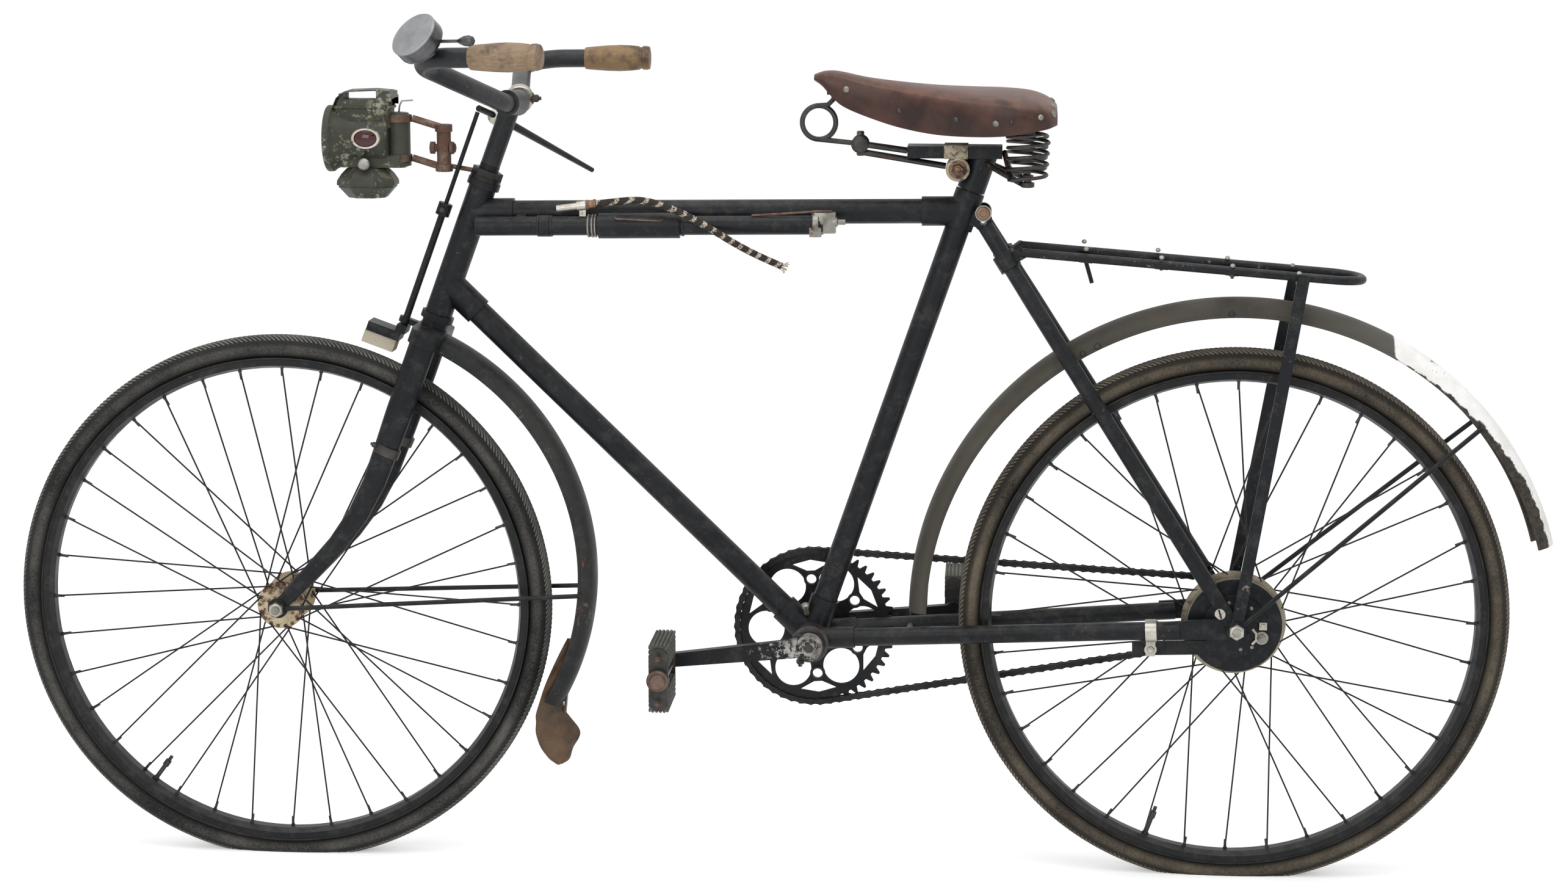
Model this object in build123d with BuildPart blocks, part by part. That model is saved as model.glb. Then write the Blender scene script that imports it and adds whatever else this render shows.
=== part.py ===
"""Military bicycle with a rod brake in front, a drum brake behind, a carrier, a pump and a gas lamp.

Millimetres. +X points to the front, +Y to the rider's left, +Z up.
The origin is where the rider sits, on top of the saddle.
"""
import os
from math import asin, atan2, cos, pi, radians, sin, sqrt, tan

from build123d import *

os.makedirs("parts", exist_ok=True)

# Driving dimensions of the whole bicycle
tyre_r = 347.0
stay_room = 189.0           # from the rear tyre to the bottom bracket
toe_room = 339.0            # from the bottom bracket to the front tyre
bracket_z = -33.0           # bottom bracket above the axles
seat_angle = 71.2
seat_tube_length = 592.0
saddle_back = 5.22          # rider's place behind the seat tube's end
saddle_rise = 143.58        # and above it
head_angle = 70.0           # steering axis against the ground
rake = 64.0                 # front axle ahead of the steering axis
crown_room = 41.0           # from the tyre to the fork crown, along the steering axis
head_length = 172.0
bar_turn = -7.5             # the bars sit a little skew on the steerer

# Places that follow from them
bracket_x = tyre_r + stay_room
wheel_base = bracket_x + toe_room + tyre_r
seat_forward = bracket_x - seat_tube_length * cos(radians(seat_angle)) - saddle_back
seat_above = bracket_z + seat_tube_length * sin(radians(seat_angle)) + saddle_rise
crown_low = tyre_r + crown_room

# Clearances
seat_gap = 0.25             # round pieces that sit in one another
face_gap = 0.3              # faces that sit against one another
running_gap = 0.08          # shafts that turn in a bore

# Frame tubes and lugs
tube_r = 15.5
lug_wall = 3.0
lug_reach = 52.0
seat_joint_down = 12.0      # top tube's axis below the seat tube's end
head_r = 17.5
head_bore = 14.2
head_low = crown_low + 38.0     # along the steering axis, from the foot beside the front axle
head_high = head_low + head_length
top_tube_at = head_high - 35.0
down_tube_at = head_low + 41.0
bar_at = head_high + 113.0
bracket_r = 21.5
bracket_width = 72.0
stay_r = 11.5
stay_reach = 42.0
stay_in_y = 24.0
stay_wall = 2.0
stay_behind = 14.0          # start of the chain stays, behind and above the bottom bracket
stay_over = 2.0
seat_stay_r = 10.0
dropout_in = 58.0           # inner face of the rear fork ends
dropout_thick = 5.0
eye_thick = 4.0
strip_thick = 3.0
bolt_r = 4.0

# Wheels
tyre_tall = 27.0            # outside the rim
tyre_half = 20.0
rim_deep = 14.0
rim_half = 18.0
rim_outer_r = tyre_r - tyre_tall
rim_inner_r = rim_outer_r - rim_deep
spoke_r = 1.1
spoke_count = 36
spoke_rim_y = 4.0
spoke_lift = 0.85           # off the flange, because it slants towards the rim
flange_thick = 4.0
axle_r = 5.5
front_end_in = 47.0         # inner face of the fork ends

# Crank, chain and pedals
pitch = 12.7
ring_teeth = 50
sprocket_teeth = 20
chain_line = 50.0
tooth_thick = 3.0
crank_length = 182.0
crank_drop = 6.5            # degrees below level, left crank forward
crank_axle_r = 8.0
crank_in = 61.0
crank_thick = 12.0
spindle_r = 6.0

# Soft and small pieces
hose_r = 4.5

# Frame of the steering axis
caster = radians(90 - head_angle)
steer_up = Vector(-sin(caster), 0, cos(caster))
steer_ahead = Vector(cos(caster), 0, sin(caster))
SIDES = {"left": 1, "right": -1}


def at(x, y, z):
    """A point given from the middle of the rear axle."""
    return Vector(x - seat_forward, y, z - seat_above)


front_hub = at(wheel_base, 0, 0)
rear_hub = at(0, 0, 0)
steer_foot = front_hub - steer_ahead * rake


def steer(x, y, t):
    """A point ahead of, beside and up along the steering axis."""
    return steer_foot + steer_ahead * x + Vector(0, y, 0) + steer_up * t


def bars(x, y, t):
    """The same for what turns with the skew handlebar."""
    turn = radians(bar_turn)
    return steer(x * cos(turn) - y * sin(turn), x * sin(turn) + y * cos(turn), t)


def toward(a, b, distance):
    """The point that lies a distance from a, on the way to b."""
    return a + (b - a).normalized() * distance


def radial_plane(centre, angle):
    """Sketch plane through an axle: local x outward at an angle from +X, local y along +Y."""
    a = radians(angle)
    return Plane(origin=centre, x_dir=(cos(a), 0, sin(a)), z_dir=(-sin(a), 0, cos(a)))


def side_plane(point):
    """Sketch plane with local x along +X and local y along +Z, drawn outward along -Y."""
    return Plane(origin=point, x_dir=(1, 0, 0), z_dir=(0, -1, 0))


def bar(a, b, r, mode=Mode.ADD):
    """A round bar from a to b in the part being built."""
    run = b - a
    with BuildSketch(Plane(origin=a, z_dir=run)) as section:
        Circle(r)
    extrude(section.sketch, amount=run.length, mode=mode)


def cone(a, b, r_a, r_b):
    """A tapered round bar from a to b."""
    run = b - a
    with BuildSketch(Plane(origin=a, z_dir=run)) as start:
        Circle(r_a)
    with BuildSketch(Plane(origin=b, z_dir=run)) as end:
        Circle(r_b)
    loft([start.sketch, end.sketch])


def strip(a, b, across, width, thick, mode=Mode.ADD):
    """A flat bar from a to b; across is the direction of its width."""
    run = b - a
    with BuildSketch(Plane(origin=a, x_dir=across, z_dir=run)) as section:
        Rectangle(width, thick)
    extrude(section.sketch, amount=run.length, mode=mode)


def wire(points, radii, r):
    """A round bar bent along straight runs and arcs; gives back its middle line."""
    with BuildLine() as path:
        FilletPolyline(*points, radius=radii)
    with BuildSketch(Plane(origin=path.line @ 0, z_dir=path.line % 0)) as section:
        Circle(r)
    sweep(section.sketch, path=path.line)
    return path.line


def disc(centre, y_from, y_to, r, mode=Mode.ADD):
    """A disc about a crosswise axis, between two places along Y."""
    bar(Vector(centre.X, y_from, centre.Z), Vector(centre.X, y_to, centre.Z), r, mode)


def save(builder, name):
    """Name a finished piece and write it."""
    builder.part.label = name
    export_step(builder.part, f"parts/{name}.step")


# Points of the frame
bracket = at(bracket_x, 0, bracket_z)
seat_lean = radians(90 - seat_angle)
seat_up = Vector(-sin(seat_lean), 0, cos(seat_lean))
seat_top = bracket + seat_up * seat_tube_length
head_top = steer(0, 0, head_high)
head_top_joint = steer(0, 0, top_tube_at)
head_down_joint = steer(0, 0, down_tube_at)
seat_joint = bracket + seat_up * (seat_tube_length - seat_joint_down)
lug_r = tube_r + lug_wall


def clear_of(post_r, post_way, tube_way):
    """How far from a post's axis a slanting tube has to end so that its corner clears the post."""
    lean = abs(post_way.normalized().dot(tube_way.normalized()))
    return (post_r + (tube_r + seat_gap) * lean) / sqrt(1 - lean * lean)


def socket(joint, far, start):
    """Bore a lug for a tube that comes from the far end."""
    bar(toward(joint, far, start), toward(joint, far, lug_reach + 1), tube_r + seat_gap, Mode.SUBTRACT)


# Head tube with its two lugs
top_socket = clear_of(head_r, steer_up, seat_joint - head_top_joint)
down_socket = clear_of(head_r, steer_up, bracket - head_down_joint)
with BuildPart() as head_tube:
    bar(steer(0, 0, head_low), steer(0, 0, head_high), head_r)
    bar(head_top_joint, toward(head_top_joint, seat_joint, lug_reach), lug_r)
    bar(head_down_joint, toward(head_down_joint, bracket, lug_reach), lug_r)
    socket(head_top_joint, seat_joint, top_socket)
    socket(head_down_joint, bracket, down_socket)
    bar(steer(0, 0, head_low - 1), steer(0, 0, head_high + 1), head_bore, Mode.SUBTRACT)
save(head_tube, "head_tube")

# Seat lug: socket for the seat and top tubes, collar for the post, ear for the stays
collar_up = 14.0
post_r = 12.7
ear_back = 28.0
ear_r = 9.0
ear_half = 14.0
ear_down = 16.0
lug_down = 34.0
ear = seat_top - seat_up * ear_down - Vector(cos(seat_lean), 0, sin(seat_lean)) * ear_back
seat_socket = clear_of(tube_r + 1, seat_up, head_top_joint - seat_joint)
with BuildPart() as seat_lug:
    bar(seat_top - seat_up * lug_down, seat_top + seat_up * collar_up, lug_r)
    bar(seat_joint, toward(seat_joint, head_top_joint, lug_reach), lug_r)
    strip(seat_top - seat_up * ear_down, ear, Vector(0, 1, 0), 2 * ear_half, 2 * ear_r)
    disc(ear, -ear_half, ear_half, ear_r)
    disc(ear, -ear_half - 1, ear_half + 1, bolt_r, Mode.SUBTRACT)
    bar(seat_top - seat_up * 2 * lug_reach, seat_top, tube_r + seat_gap, Mode.SUBTRACT)
    socket(seat_joint, head_top_joint, seat_socket)
    bar(seat_top - seat_up, seat_top + seat_up * (collar_up + 1), post_r + seat_gap, Mode.SUBTRACT)
save(seat_lug, "seat_lug")

# Bottom bracket shell with its sockets
stay_start = {
    side: bracket + Vector(-stay_behind, sign * stay_in_y, stay_over) for side, sign in SIDES.items()
}
stay_end = {side: at(0, sign * (dropout_in + dropout_thick / 2), 0) for side, sign in SIDES.items()}
bracket_half = bracket_width / 2
bracket_socket = clear_of(tube_r + 1, head_down_joint - bracket, seat_up)
stay_socket = bracket_r - 5.0
bush = 10.0
bearing_room = 5.0
with BuildPart() as bottom_bracket:
    disc(bracket, -bracket_half, bracket_half, bracket_r)
    for far in (seat_top, head_down_joint):
        bar(bracket, toward(bracket, far, lug_reach), lug_r)
    for side in SIDES:
        a, b = stay_start[side], stay_end[side]
        bar(a, toward(a, b, stay_reach), stay_r + stay_wall)
    for far in (seat_top, head_down_joint):
        socket(bracket, far, bracket_socket)
    for side in SIDES:
        a, b = stay_start[side], stay_end[side]
        bar(toward(a, b, stay_socket), toward(a, b, stay_reach + 1), stay_r + seat_gap, Mode.SUBTRACT)
    disc(bracket, -bracket_half - 1, bracket_half + 1, crank_axle_r + running_gap, Mode.SUBTRACT)
    disc(bracket, bush - bracket_half, bracket_half - bush, crank_axle_r + bearing_room, Mode.SUBTRACT)
save(bottom_bracket, "bottom_bracket")

# Main tubes
with BuildPart() as top_tube:
    bar(
        toward(head_top_joint, seat_joint, top_socket + face_gap),
        toward(seat_joint, head_top_joint, seat_socket + face_gap),
        tube_r,
    )
save(top_tube, "top_tube")

with BuildPart() as down_tube:
    bar(
        toward(head_down_joint, bracket, down_socket + face_gap),
        toward(bracket, head_down_joint, bracket_socket + face_gap),
        tube_r,
    )
save(down_tube, "down_tube")

post_depth = 90.0
with BuildPart() as seat_tube:
    bar(toward(bracket, seat_top, bracket_socket + face_gap), seat_top - seat_up * face_gap, tube_r)
    bar(seat_top - seat_up * (post_depth + face_gap), seat_top, post_r + seat_gap, Mode.SUBTRACT)
save(seat_tube, "seat_tube")

# Chain stays with flat fork ends
stay_tube_end = 70.0
plate_far = stay_tube_end + 20
fork_end = ((plate_far, -16), (4, -13), (-17, -13), (-17, 13), (6, 14), (plate_far, 7))
slot_long = 20.0
with BuildPart() as chain_stays:
    for side, sign in SIDES.items():
        a, b = stay_start[side], stay_end[side]
        bar(toward(a, b, stay_socket + face_gap), toward(b, a, stay_tube_end), stay_r)
        with BuildSketch(side_plane(at(0, sign * (dropout_in + dropout_thick / 2), 0))):
            Polygon(*fork_end, align=None)
            with Locations((-slot_long / 2, 0)):
                Rectangle(slot_long, 2 * (axle_r + seat_gap), mode=Mode.SUBTRACT)
            Circle(axle_r + seat_gap, mode=Mode.SUBTRACT)
        extrude(amount=dropout_thick / 2, both=True)
save(chain_stays, "chain_stays")

# Seat stays, bolted to the ear and hooked over the rear axle
eye_in = dropout_in + dropout_thick + face_gap
eye_bore = axle_r + seat_gap
knee_y = 40.0
knee_down = 120.0
knee_r = 150.0
tip_in = 6.0                # tube's end short of the top eye
flat_long = 75.0            # flattened end at the axle
flat_wide = 17.0
flat_overlap = 13.0


def seat_stay_points(sign):
    """Top eye, knee and axle eye of one seat stay."""
    top = Vector(ear.X, sign * (ear_half + face_gap + eye_thick / 2), ear.Z)
    low = at(0, sign * (eye_in + eye_thick / 2), 0)
    share = knee_down / (low - top).length
    knee = Vector(top.X + (low.X - top.X) * share, sign * knee_y, top.Z + (low.Z - top.Z) * share)
    return top, knee, low


with BuildPart() as seat_stays:
    for sign in SIDES.values():
        top, knee, low = seat_stay_points(sign)
        tube_end = toward(low, knee, flat_long - flat_overlap)
        wire([toward(top, knee, tip_in), knee, tube_end], knee_r, seat_stay_r)
        disc(ear, sign * (ear_half + face_gap), sign * (ear_half + face_gap + eye_thick), ear_r + 2)
        disc(rear_hub, sign * eye_in, sign * (eye_in + eye_thick), axle_r + 8)
        plate_end = toward(low, knee, flat_long)
        rise = (Vector(plate_end.X, low.Y, plate_end.Z) - low).normalized()
        strip(low, low + rise * flat_long, Vector(-rise.Z, 0, rise.X), flat_wide, eye_thick)
        disc(ear, 0, sign * 60, bolt_r, Mode.SUBTRACT)
        disc(ear, 0, sign * (ear_half + face_gap), ear_r + 6, Mode.SUBTRACT)
        disc(rear_hub, sign * (eye_in - 5), sign * (eye_in + 20), eye_bore, Mode.SUBTRACT)
save(seat_stays, "seat_stays")

# Bridges between the chain stays and between the seat stays, which carry the rear mudguard
guard_gap = 65.0            # from the tyre to the crown of the rear mudguard
guard_r = tyre_r + guard_gap
guard_half = 29.0
guard_deep = 26.0
guard_sheet = 1.5
bridge_r = 6.0
stay_splay = stay_end["left"] - stay_start["left"]
bridge_share = (stay_start["left"].X - (rear_hub.X + guard_r - guard_sheet)) / -stay_splay.X
bridge = stay_start["left"] + stay_splay * bridge_share
bridge_half = bridge.Y - stay_r - face_gap - (bridge_r + 1) * stay_splay.Y / -stay_splay.X
top, knee, low = seat_stay_points(1)
knee_reach = (Vector(knee.X, 0, knee.Z) - rear_hub).length
upper_reach = guard_r + bridge_r + face_gap
upper_bridge = low + (knee - low) * (upper_reach / knee_reach)
upper_half = upper_bridge.Y - seat_stay_r - face_gap - (bridge_r + 1) * (low.Y - knee.Y) / knee_reach
with BuildPart() as stay_bridges:
    disc(bridge, -bridge_half, bridge_half, bridge_r)
    disc(upper_bridge, -upper_half, upper_half, bridge_r)
save(stay_bridges, "stay_bridges")

# Headset cups, in the ends of the head tube
cup_r = 21.0
cup_height = 9.0
steerer_r = 12.7
with BuildPart() as headset_cups:
    for end, way in ((head_low, -1), (head_high, 1)):
        bar(steer(0, 0, end + way * face_gap), steer(0, 0, end + way * cup_height), cup_r)
    bar(steer(0, 0, head_low - 20), steer(0, 0, head_high + 20), steerer_r + running_gap, Mode.SUBTRACT)
save(headset_cups, "headset_cups")

# Seat post and saddle clamp
clamp_up = 52.0
with BuildPart() as seat_post:
    bar(seat_top - seat_up * post_depth, seat_top + seat_up * clamp_up, post_r)
save(seat_post, "seat_post")

clamp_long = 118.0
clamp_half = 24.0
clamp_tall = 15.0
clamp_ahead = 32.0          # middle of the clamp, ahead of the post's top
clamp_rise = 14.0
clamp_neck = 5.0            # wall of the socket round the post
boss_r = 15.0
boss_drop = clamp_tall / 2 + boss_r - 1.5
post_top = seat_top + seat_up * clamp_up
clamp = post_top + Vector(clamp_ahead, 0, clamp_rise)
clamp_boss = clamp + Vector(-4, 0, -boss_drop)
with BuildPart() as saddle_clamp:
    strip(
        clamp - Vector(clamp_long / 2, 0, 0),
        clamp + Vector(clamp_long / 2, 0, 0),
        Vector(0, 1, 0),
        2 * clamp_half,
        clamp_tall,
    )
    bar(clamp_boss - Vector(0, clamp_half, 0), clamp_boss + Vector(0, clamp_half, 0), boss_r)
    bar(seat_top + seat_up * (collar_up + 2), post_top + seat_up * clamp_rise, post_r + clamp_neck)
    bar(seat_top, post_top + seat_up * face_gap, post_r + seat_gap, Mode.SUBTRACT)
save(saddle_clamp, "saddle_clamp")

# Leather saddle: an arched shell, widest over the rear springs
saddle_sections = (
    # ahead of the rider's place, half width, crown height, skirt height, shoulder drop
    (198, 12, 14, -6, 5),
    (186, 20, 16, -15, 8),
    (150, 27, 14, -29, 10),
    (100, 39, 7, -45, 12),
    (40, 68, 2, -56, 15),
    (-20, 98, 0, -56, 18),
    (-58, 106, -2, -52, 19),
    (-86, 100, -8, -47, 17),
    (-104, 78, -20, -43, 11),
)
leather = 5.0
with BuildPart() as saddle_leather:
    for x, half, crown, skirt, shoulder in saddle_sections:
        outer = [(half, skirt), (half, crown - shoulder), (0.62 * half, crown - 0.3 * shoulder), (0, crown)]
        inner = [
            (0, crown - leather),
            (0.62 * half - leather * 0.3, crown - 0.3 * shoulder - leather),
            (half - leather, crown - shoulder - leather * 0.6),
            (half - leather, skirt),
        ]
        left_outer = [(-y, z) for y, z in reversed(outer[:-1])]
        left_inner = [(-y, z) for y, z in reversed(inner[1:])]
        with BuildSketch(Plane(origin=(x, 0, 0), x_dir=(0, 1, 0), z_dir=(1, 0, 0))):
            Polygon(*outer, *left_outer, *left_inner, *inner, align=None)
    loft(ruled=True)
save(saddle_leather, "saddle_leather")

# Saddle springs: two coils at the back under the cantle plate, one ring under the nose
coil_y = 56.0
coil_low_r = 19.0
coil_high_r = 21.0
coil_wire = 5.0
coil_turns = 4.0
coil_foot = Vector(-70, 0, -111)
coil_tall = 57.5
steps_a_turn = 10
rail_y = 9.5
rail_r = 3.4
nose_ring_r = 21.0
nose_ring = Vector(191, 0, -46)
nose_block = (166.0, 182.0, 8.1)        # rear and front end, top
nose_block_half = 8.0
knob = Vector(139, 0, -72)
knob_r = 11.0
knob_half = 17.0
plate_tall = 4.0
cantle_outline = ((-78, 93), (-68, 98), (-56, 97))      # ahead of the rider's place, half width


def coil_section(centre, turn_angle, share):
    """A square wire section on a coil, facing along the turn."""
    a = 2 * pi * turn_angle
    out = Vector(cos(a), sin(a), 0)
    r = coil_low_r + (coil_high_r - coil_low_r) * share
    return Plane(
        origin=centre + out * r + Vector(0, 0, coil_tall * share),
        x_dir=out,
        z_dir=(-sin(a), cos(a), 0),
    )


with BuildPart() as saddle_springs:
    for sign in SIDES.values():
        count = int(coil_turns * steps_a_turn)
        foot = coil_foot + Vector(0, sign * coil_y, 0)
        for step in range(count + 1):
            with BuildSketch(coil_section(foot, step / steps_a_turn, step / count)):
                Rectangle(coil_wire, coil_wire)
        loft(ruled=True)
        back_of_clamp = clamp - Vector(clamp_long / 2 + face_gap + rail_r, -sign * rail_y, 0)
        bar(back_of_clamp, foot + Vector(coil_low_r, 0, 0), rail_r)
    with BuildSketch(Plane.XY.offset(coil_foot.Z + coil_tall + 1)):
        Polygon(*cantle_outline, *[(x, -y) for x, y in reversed(cantle_outline)], align=None)
    extrude(amount=plate_tall)
    with BuildSketch(radial_plane(nose_ring, 90)) as ring_section:
        with Locations((nose_ring_r, 0)):
            Circle(rail_r)
    revolve(ring_section.sketch, axis=Axis(nose_ring, (0, 1, 0)))
    rear, front, high = nose_block
    block_low = nose_ring.Z + nose_ring_r - rail_r
    strip(
        Vector((rear + front) / 2, 0, block_low),
        Vector((rear + front) / 2, 0, high),
        Vector(0, 1, 0),
        2 * nose_block_half,
        front - rear,
    )
    bar(nose_ring + Vector(0, 0, -nose_ring_r), knob, rail_r)
    bar(knob - Vector(0, knob_half, 0), knob + Vector(0, knob_half, 0), knob_r)
    for sign in SIDES.values():
        front_of_clamp = clamp + Vector(clamp_long / 2 + face_gap + rail_r, sign * rail_y, 0)
        bar(knob + Vector(0, sign * rail_y, 0), front_of_clamp, rail_r)
        low_start = knob + Vector(0, sign * rail_y, 1 - knob_r)
        low_end = clamp_boss + Vector(0, sign * rail_y, 0)
        bar(low_start, toward(low_end, low_start, boss_r + face_gap), rail_r)
save(saddle_springs, "saddle_springs")

# Rear axle with its nuts
nut_r = 10.0
nut_thick = 8.0
leg_eye_in = eye_in + eye_thick + face_gap
guard_eye_in = leg_eye_in + strip_thick + face_gap
rear_nut_in = guard_eye_in + strip_thick + face_gap
with BuildPart() as rear_axle:
    disc(rear_hub, -rear_nut_in - nut_thick - 5, rear_nut_in + nut_thick + 5, axle_r)
    for sign in SIDES.values():
        start = Vector(rear_hub.X, sign * rear_nut_in, rear_hub.Z)
        with BuildSketch(Plane(origin=start, z_dir=(0, sign, 0))):
            RegularPolygon(nut_r, 6)
        extrude(amount=nut_thick)
save(rear_axle, "rear_axle")

# Rear mudguard: a rolled section turned about the rear axle
tab_wide = 12.0
tab_thick = 3.0
tab_grip = 12.0             # length of a tab inside the guard's end
rear_guard_from = 0.5
rear_guard_to = 165.0


def guard_section(outer_r):
    """Rolled mudguard section, crown outward, as a thin strip of flats."""
    shape = ((1.0, 1.0), (0.93, 0.52), (0.62, 0.16), (0.22, 0.0))
    outer = [(outer_r - deep * guard_deep, share * guard_half) for share, deep in shape]
    inner = [
        (outer_r - guard_sheet - deep * (guard_deep - guard_sheet), share * (guard_half - guard_sheet))
        for share, deep in shape
    ]
    upper = outer + [(r, -y) for r, y in reversed(outer)]
    lower = inner + [(r, -y) for r, y in reversed(inner)]
    Polygon(*upper, *reversed(lower), align=None)


with BuildPart() as rear_mudguard:
    with BuildSketch(radial_plane(rear_hub, rear_guard_from)):
        guard_section(guard_r)
    revolve(axis=Axis(rear_hub, (0, -1, 0)), revolution_arc=rear_guard_to - rear_guard_from)
    tab_x = rear_hub.X + guard_r - guard_sheet
    strip(
        Vector(tab_x, 0, rear_hub.Z + tab_grip),
        Vector(tab_x, 0, bridge.Z + bridge_r + face_gap),
        Vector(0, 1, 0),
        tab_wide,
        tab_thick,
    )
save(rear_mudguard, "rear_mudguard")

# Wire stays of the rear mudguard, from the axle to its edges
guard_stay_r = 3.0
rear_stay_angle = 139.5
with BuildPart() as rear_mudguard_stays:
    for sign in SIDES.values():
        eye_y = sign * (guard_eye_in + strip_thick / 2)
        a = radians(rear_stay_angle)
        reach = guard_r - guard_deep + 6
        foot = at(8 * cos(a), eye_y, 8 * sin(a))
        tip = at(reach * cos(a), sign * (guard_half + guard_stay_r + face_gap), reach * sin(a))
        bar(foot, tip, guard_stay_r)
        disc(rear_hub, sign * guard_eye_in, sign * (guard_eye_in + strip_thick), axle_r + 6)
        disc(rear_hub, sign * (guard_eye_in - 9), sign * (guard_eye_in + 9), eye_bore, Mode.SUBTRACT)
        disc(rear_hub, sign * (guard_eye_in - 9), sign * guard_eye_in, axle_r + 12, Mode.SUBTRACT)
        disc(
            rear_hub,
            sign * (guard_eye_in + strip_thick),
            sign * (guard_eye_in + 14),
            axle_r + 12,
            Mode.SUBTRACT,
        )
save(rear_mudguard_stays, "rear_mudguard_stays")

# Carrier: one bent rail with cross strips, held to the seat stays and on two legs
rail_half = 44.0
carrier_r = 5.5
carrier_over = 28.0         # above the mudguard, at the back
carrier_back = at(-104, 0, guard_r + carrier_over)
stay_clip = (46.0, 68.0)    # the clip's ends along the seat stay, from its top eye
top, knee, low = seat_stay_points(1)
clip_place = toward(top, knee, sum(stay_clip) / 2)
carrier_front = Vector(clip_place.X - 17.6, 0, clip_place.Z + 13)
cross_shares = (0.21, 0.455, 0.685, 0.9)
cross_wide = 16.0
clip_wall = 4.0
tine_r = 2.6
tine_y = 12.0
tine_drop = Vector(-9, 0, -30)
with BuildPart() as carrier:
    back = (carrier_back - carrier_front).normalized()
    corner = carrier_back + back * rail_half
    wire(
        [
            carrier_front + Vector(0, rail_half, 0),
            corner + Vector(0, rail_half, 0),
            corner - Vector(0, rail_half, 0),
            carrier_front - Vector(0, rail_half, 0),
        ],
        rail_half - 4,
        carrier_r,
    )
    for share in cross_shares:
        middle = carrier_front + (carrier_back - carrier_front) * share - Vector(0, 0, carrier_r - 1)
        strip(
            middle - Vector(0, rail_half, 0),
            middle + Vector(0, rail_half, 0),
            back,
            cross_wide,
            strip_thick,
        )
    first_cross = carrier_front + (carrier_back - carrier_front) * cross_shares[0]
    tine_top = first_cross - Vector(0, 0, carrier_r - 1)
    for sign in SIDES.values():
        tine = tine_top + Vector(0, sign * tine_y, 0)
        bar(tine, tine + tine_drop, tine_r)
        top, knee, low = seat_stay_points(sign)
        a, b = (toward(top, knee, place) for place in stay_clip)
        bar(a, b, seat_stay_r + clip_wall)
        strip((a + b) * 0.5, carrier_front + Vector(-2, sign * rail_half, 0), Vector(0, 0, 1), 14, 6)
        bar(toward(a, b, -20), toward(b, a, -20), seat_stay_r + seat_gap, Mode.SUBTRACT)
save(carrier, "carrier")

leg_share = 0.916           # along the carrier
leg_proud = 3.6
leg_top = carrier_front + (carrier_back - carrier_front) * leg_share + Vector(0, 0, leg_proud)
leg_wide = 15.0
leg_foot = 24.0
with BuildPart() as carrier_legs:
    for sign in SIDES.values():
        low = at(0, sign * (leg_eye_in + strip_thick / 2), 0)
        high = Vector(leg_top.X, sign * (rail_half + carrier_r + face_gap + strip_thick / 2), leg_top.Z)
        rise = (Vector(high.X, low.Y, high.Z) - low).normalized()
        across = Vector(rise.Z, 0, -rise.X)
        strip(low, low + rise * (leg_foot + 1), across, leg_wide, strip_thick)
        strip(low + rise * leg_foot, high, across, leg_wide, strip_thick)
        disc(rear_hub, sign * leg_eye_in, sign * (leg_eye_in + strip_thick), axle_r + 7)
        disc(rear_hub, sign * (leg_eye_in - 9), sign * (leg_eye_in + 9), eye_bore, Mode.SUBTRACT)
save(carrier_legs, "carrier_legs")

# Frame pump below the top tube, on the left
pump_offset = Vector(0, 31, -14)
pump_r = 12.0
sleeve_r = 16.0


def on_pump(distance):
    """The point of the pump's axis that lies a distance behind the head."""
    return toward(head_top_joint, seat_joint, distance) + pump_offset


with BuildPart() as pump:
    for start, end, r in (
        (8, 446, pump_r),
        (90, 102, pump_r + 1.5),
        (150, 161, pump_r + 2),
        (164, 266, sleeve_r),
    ):
        bar(on_pump(start), on_pump(end), r)
save(pump, "pump")

clip_wide = 12.0
rear_clip_at = 430.0        # behind the head, along the pump
with BuildPart() as pump_clips:
    for start in (lug_reach + 6, rear_clip_at):
        a, b = on_pump(start), on_pump(start + clip_wide)
        bar(a, b, pump_r + 5)
        bar(a - pump_offset, b - pump_offset, tube_r + 4)
        bar(toward(a, b, -20), toward(b, a, -20), pump_r + seat_gap, Mode.SUBTRACT)
        bar(
            toward(a, b, -20) - pump_offset,
            toward(b, a, -20) - pump_offset,
            tube_r + seat_gap,
            Mode.SUBTRACT,
        )
save(pump_clips, "pump_clips")

# Pump hose: clipped on top of the sleeve, then bent out and down to a bare end
hose_table = (
    # behind the head along the pump, out to the left, up
    (151, 3, 26.6),
    (181, 4, 30.2),
    (217, 9, 33.7),
    (245, 15, 27.3),
    (275, 21, 15.9),
    (307, 25, -1.6),
    (337, 27, -20.0),
    (368, 26, -36.5),
    (396, 24, -48.9),
)
hose_route = [on_pump(along) + Vector(0, out, up) for along, out, up in hose_table]
bend_share = 0.45           # of the shorter run beside each bend
hose_radii = []
for before, here, after in zip(hose_route, hose_route[1:], hose_route[2:]):
    turn = radians((here - before).get_angle(after - here))
    hose_radii.append(bend_share * min((here - before).length, (after - here).length) / tan(turn / 2))
with BuildPart() as pump_hose:
    wire(hose_route, hose_radii, hose_r)
save(pump_hose, "pump_hose")

# Brass connector at the start of the hose
hose_start = hose_route[0]
hose_back = (hose_route[0] - hose_route[1]).normalized()
clip_at = 144.0             # behind the head, along the pump
with BuildPart() as hose_fitting:
    bar(hose_start, hose_start + hose_back * 14, hose_r + 1.5)
    bar(hose_start + hose_back * 14, hose_start + hose_back * 40, hose_r)
    strip(
        on_pump(clip_at) + Vector(0, 0, pump_r + face_gap),
        Vector(on_pump(clip_at).X, pump_offset.Y, hose_start.Z),
        Vector(1, 0, 0),
        8,
        8,
    )
save(hose_fitting, "hose_fitting")

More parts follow.
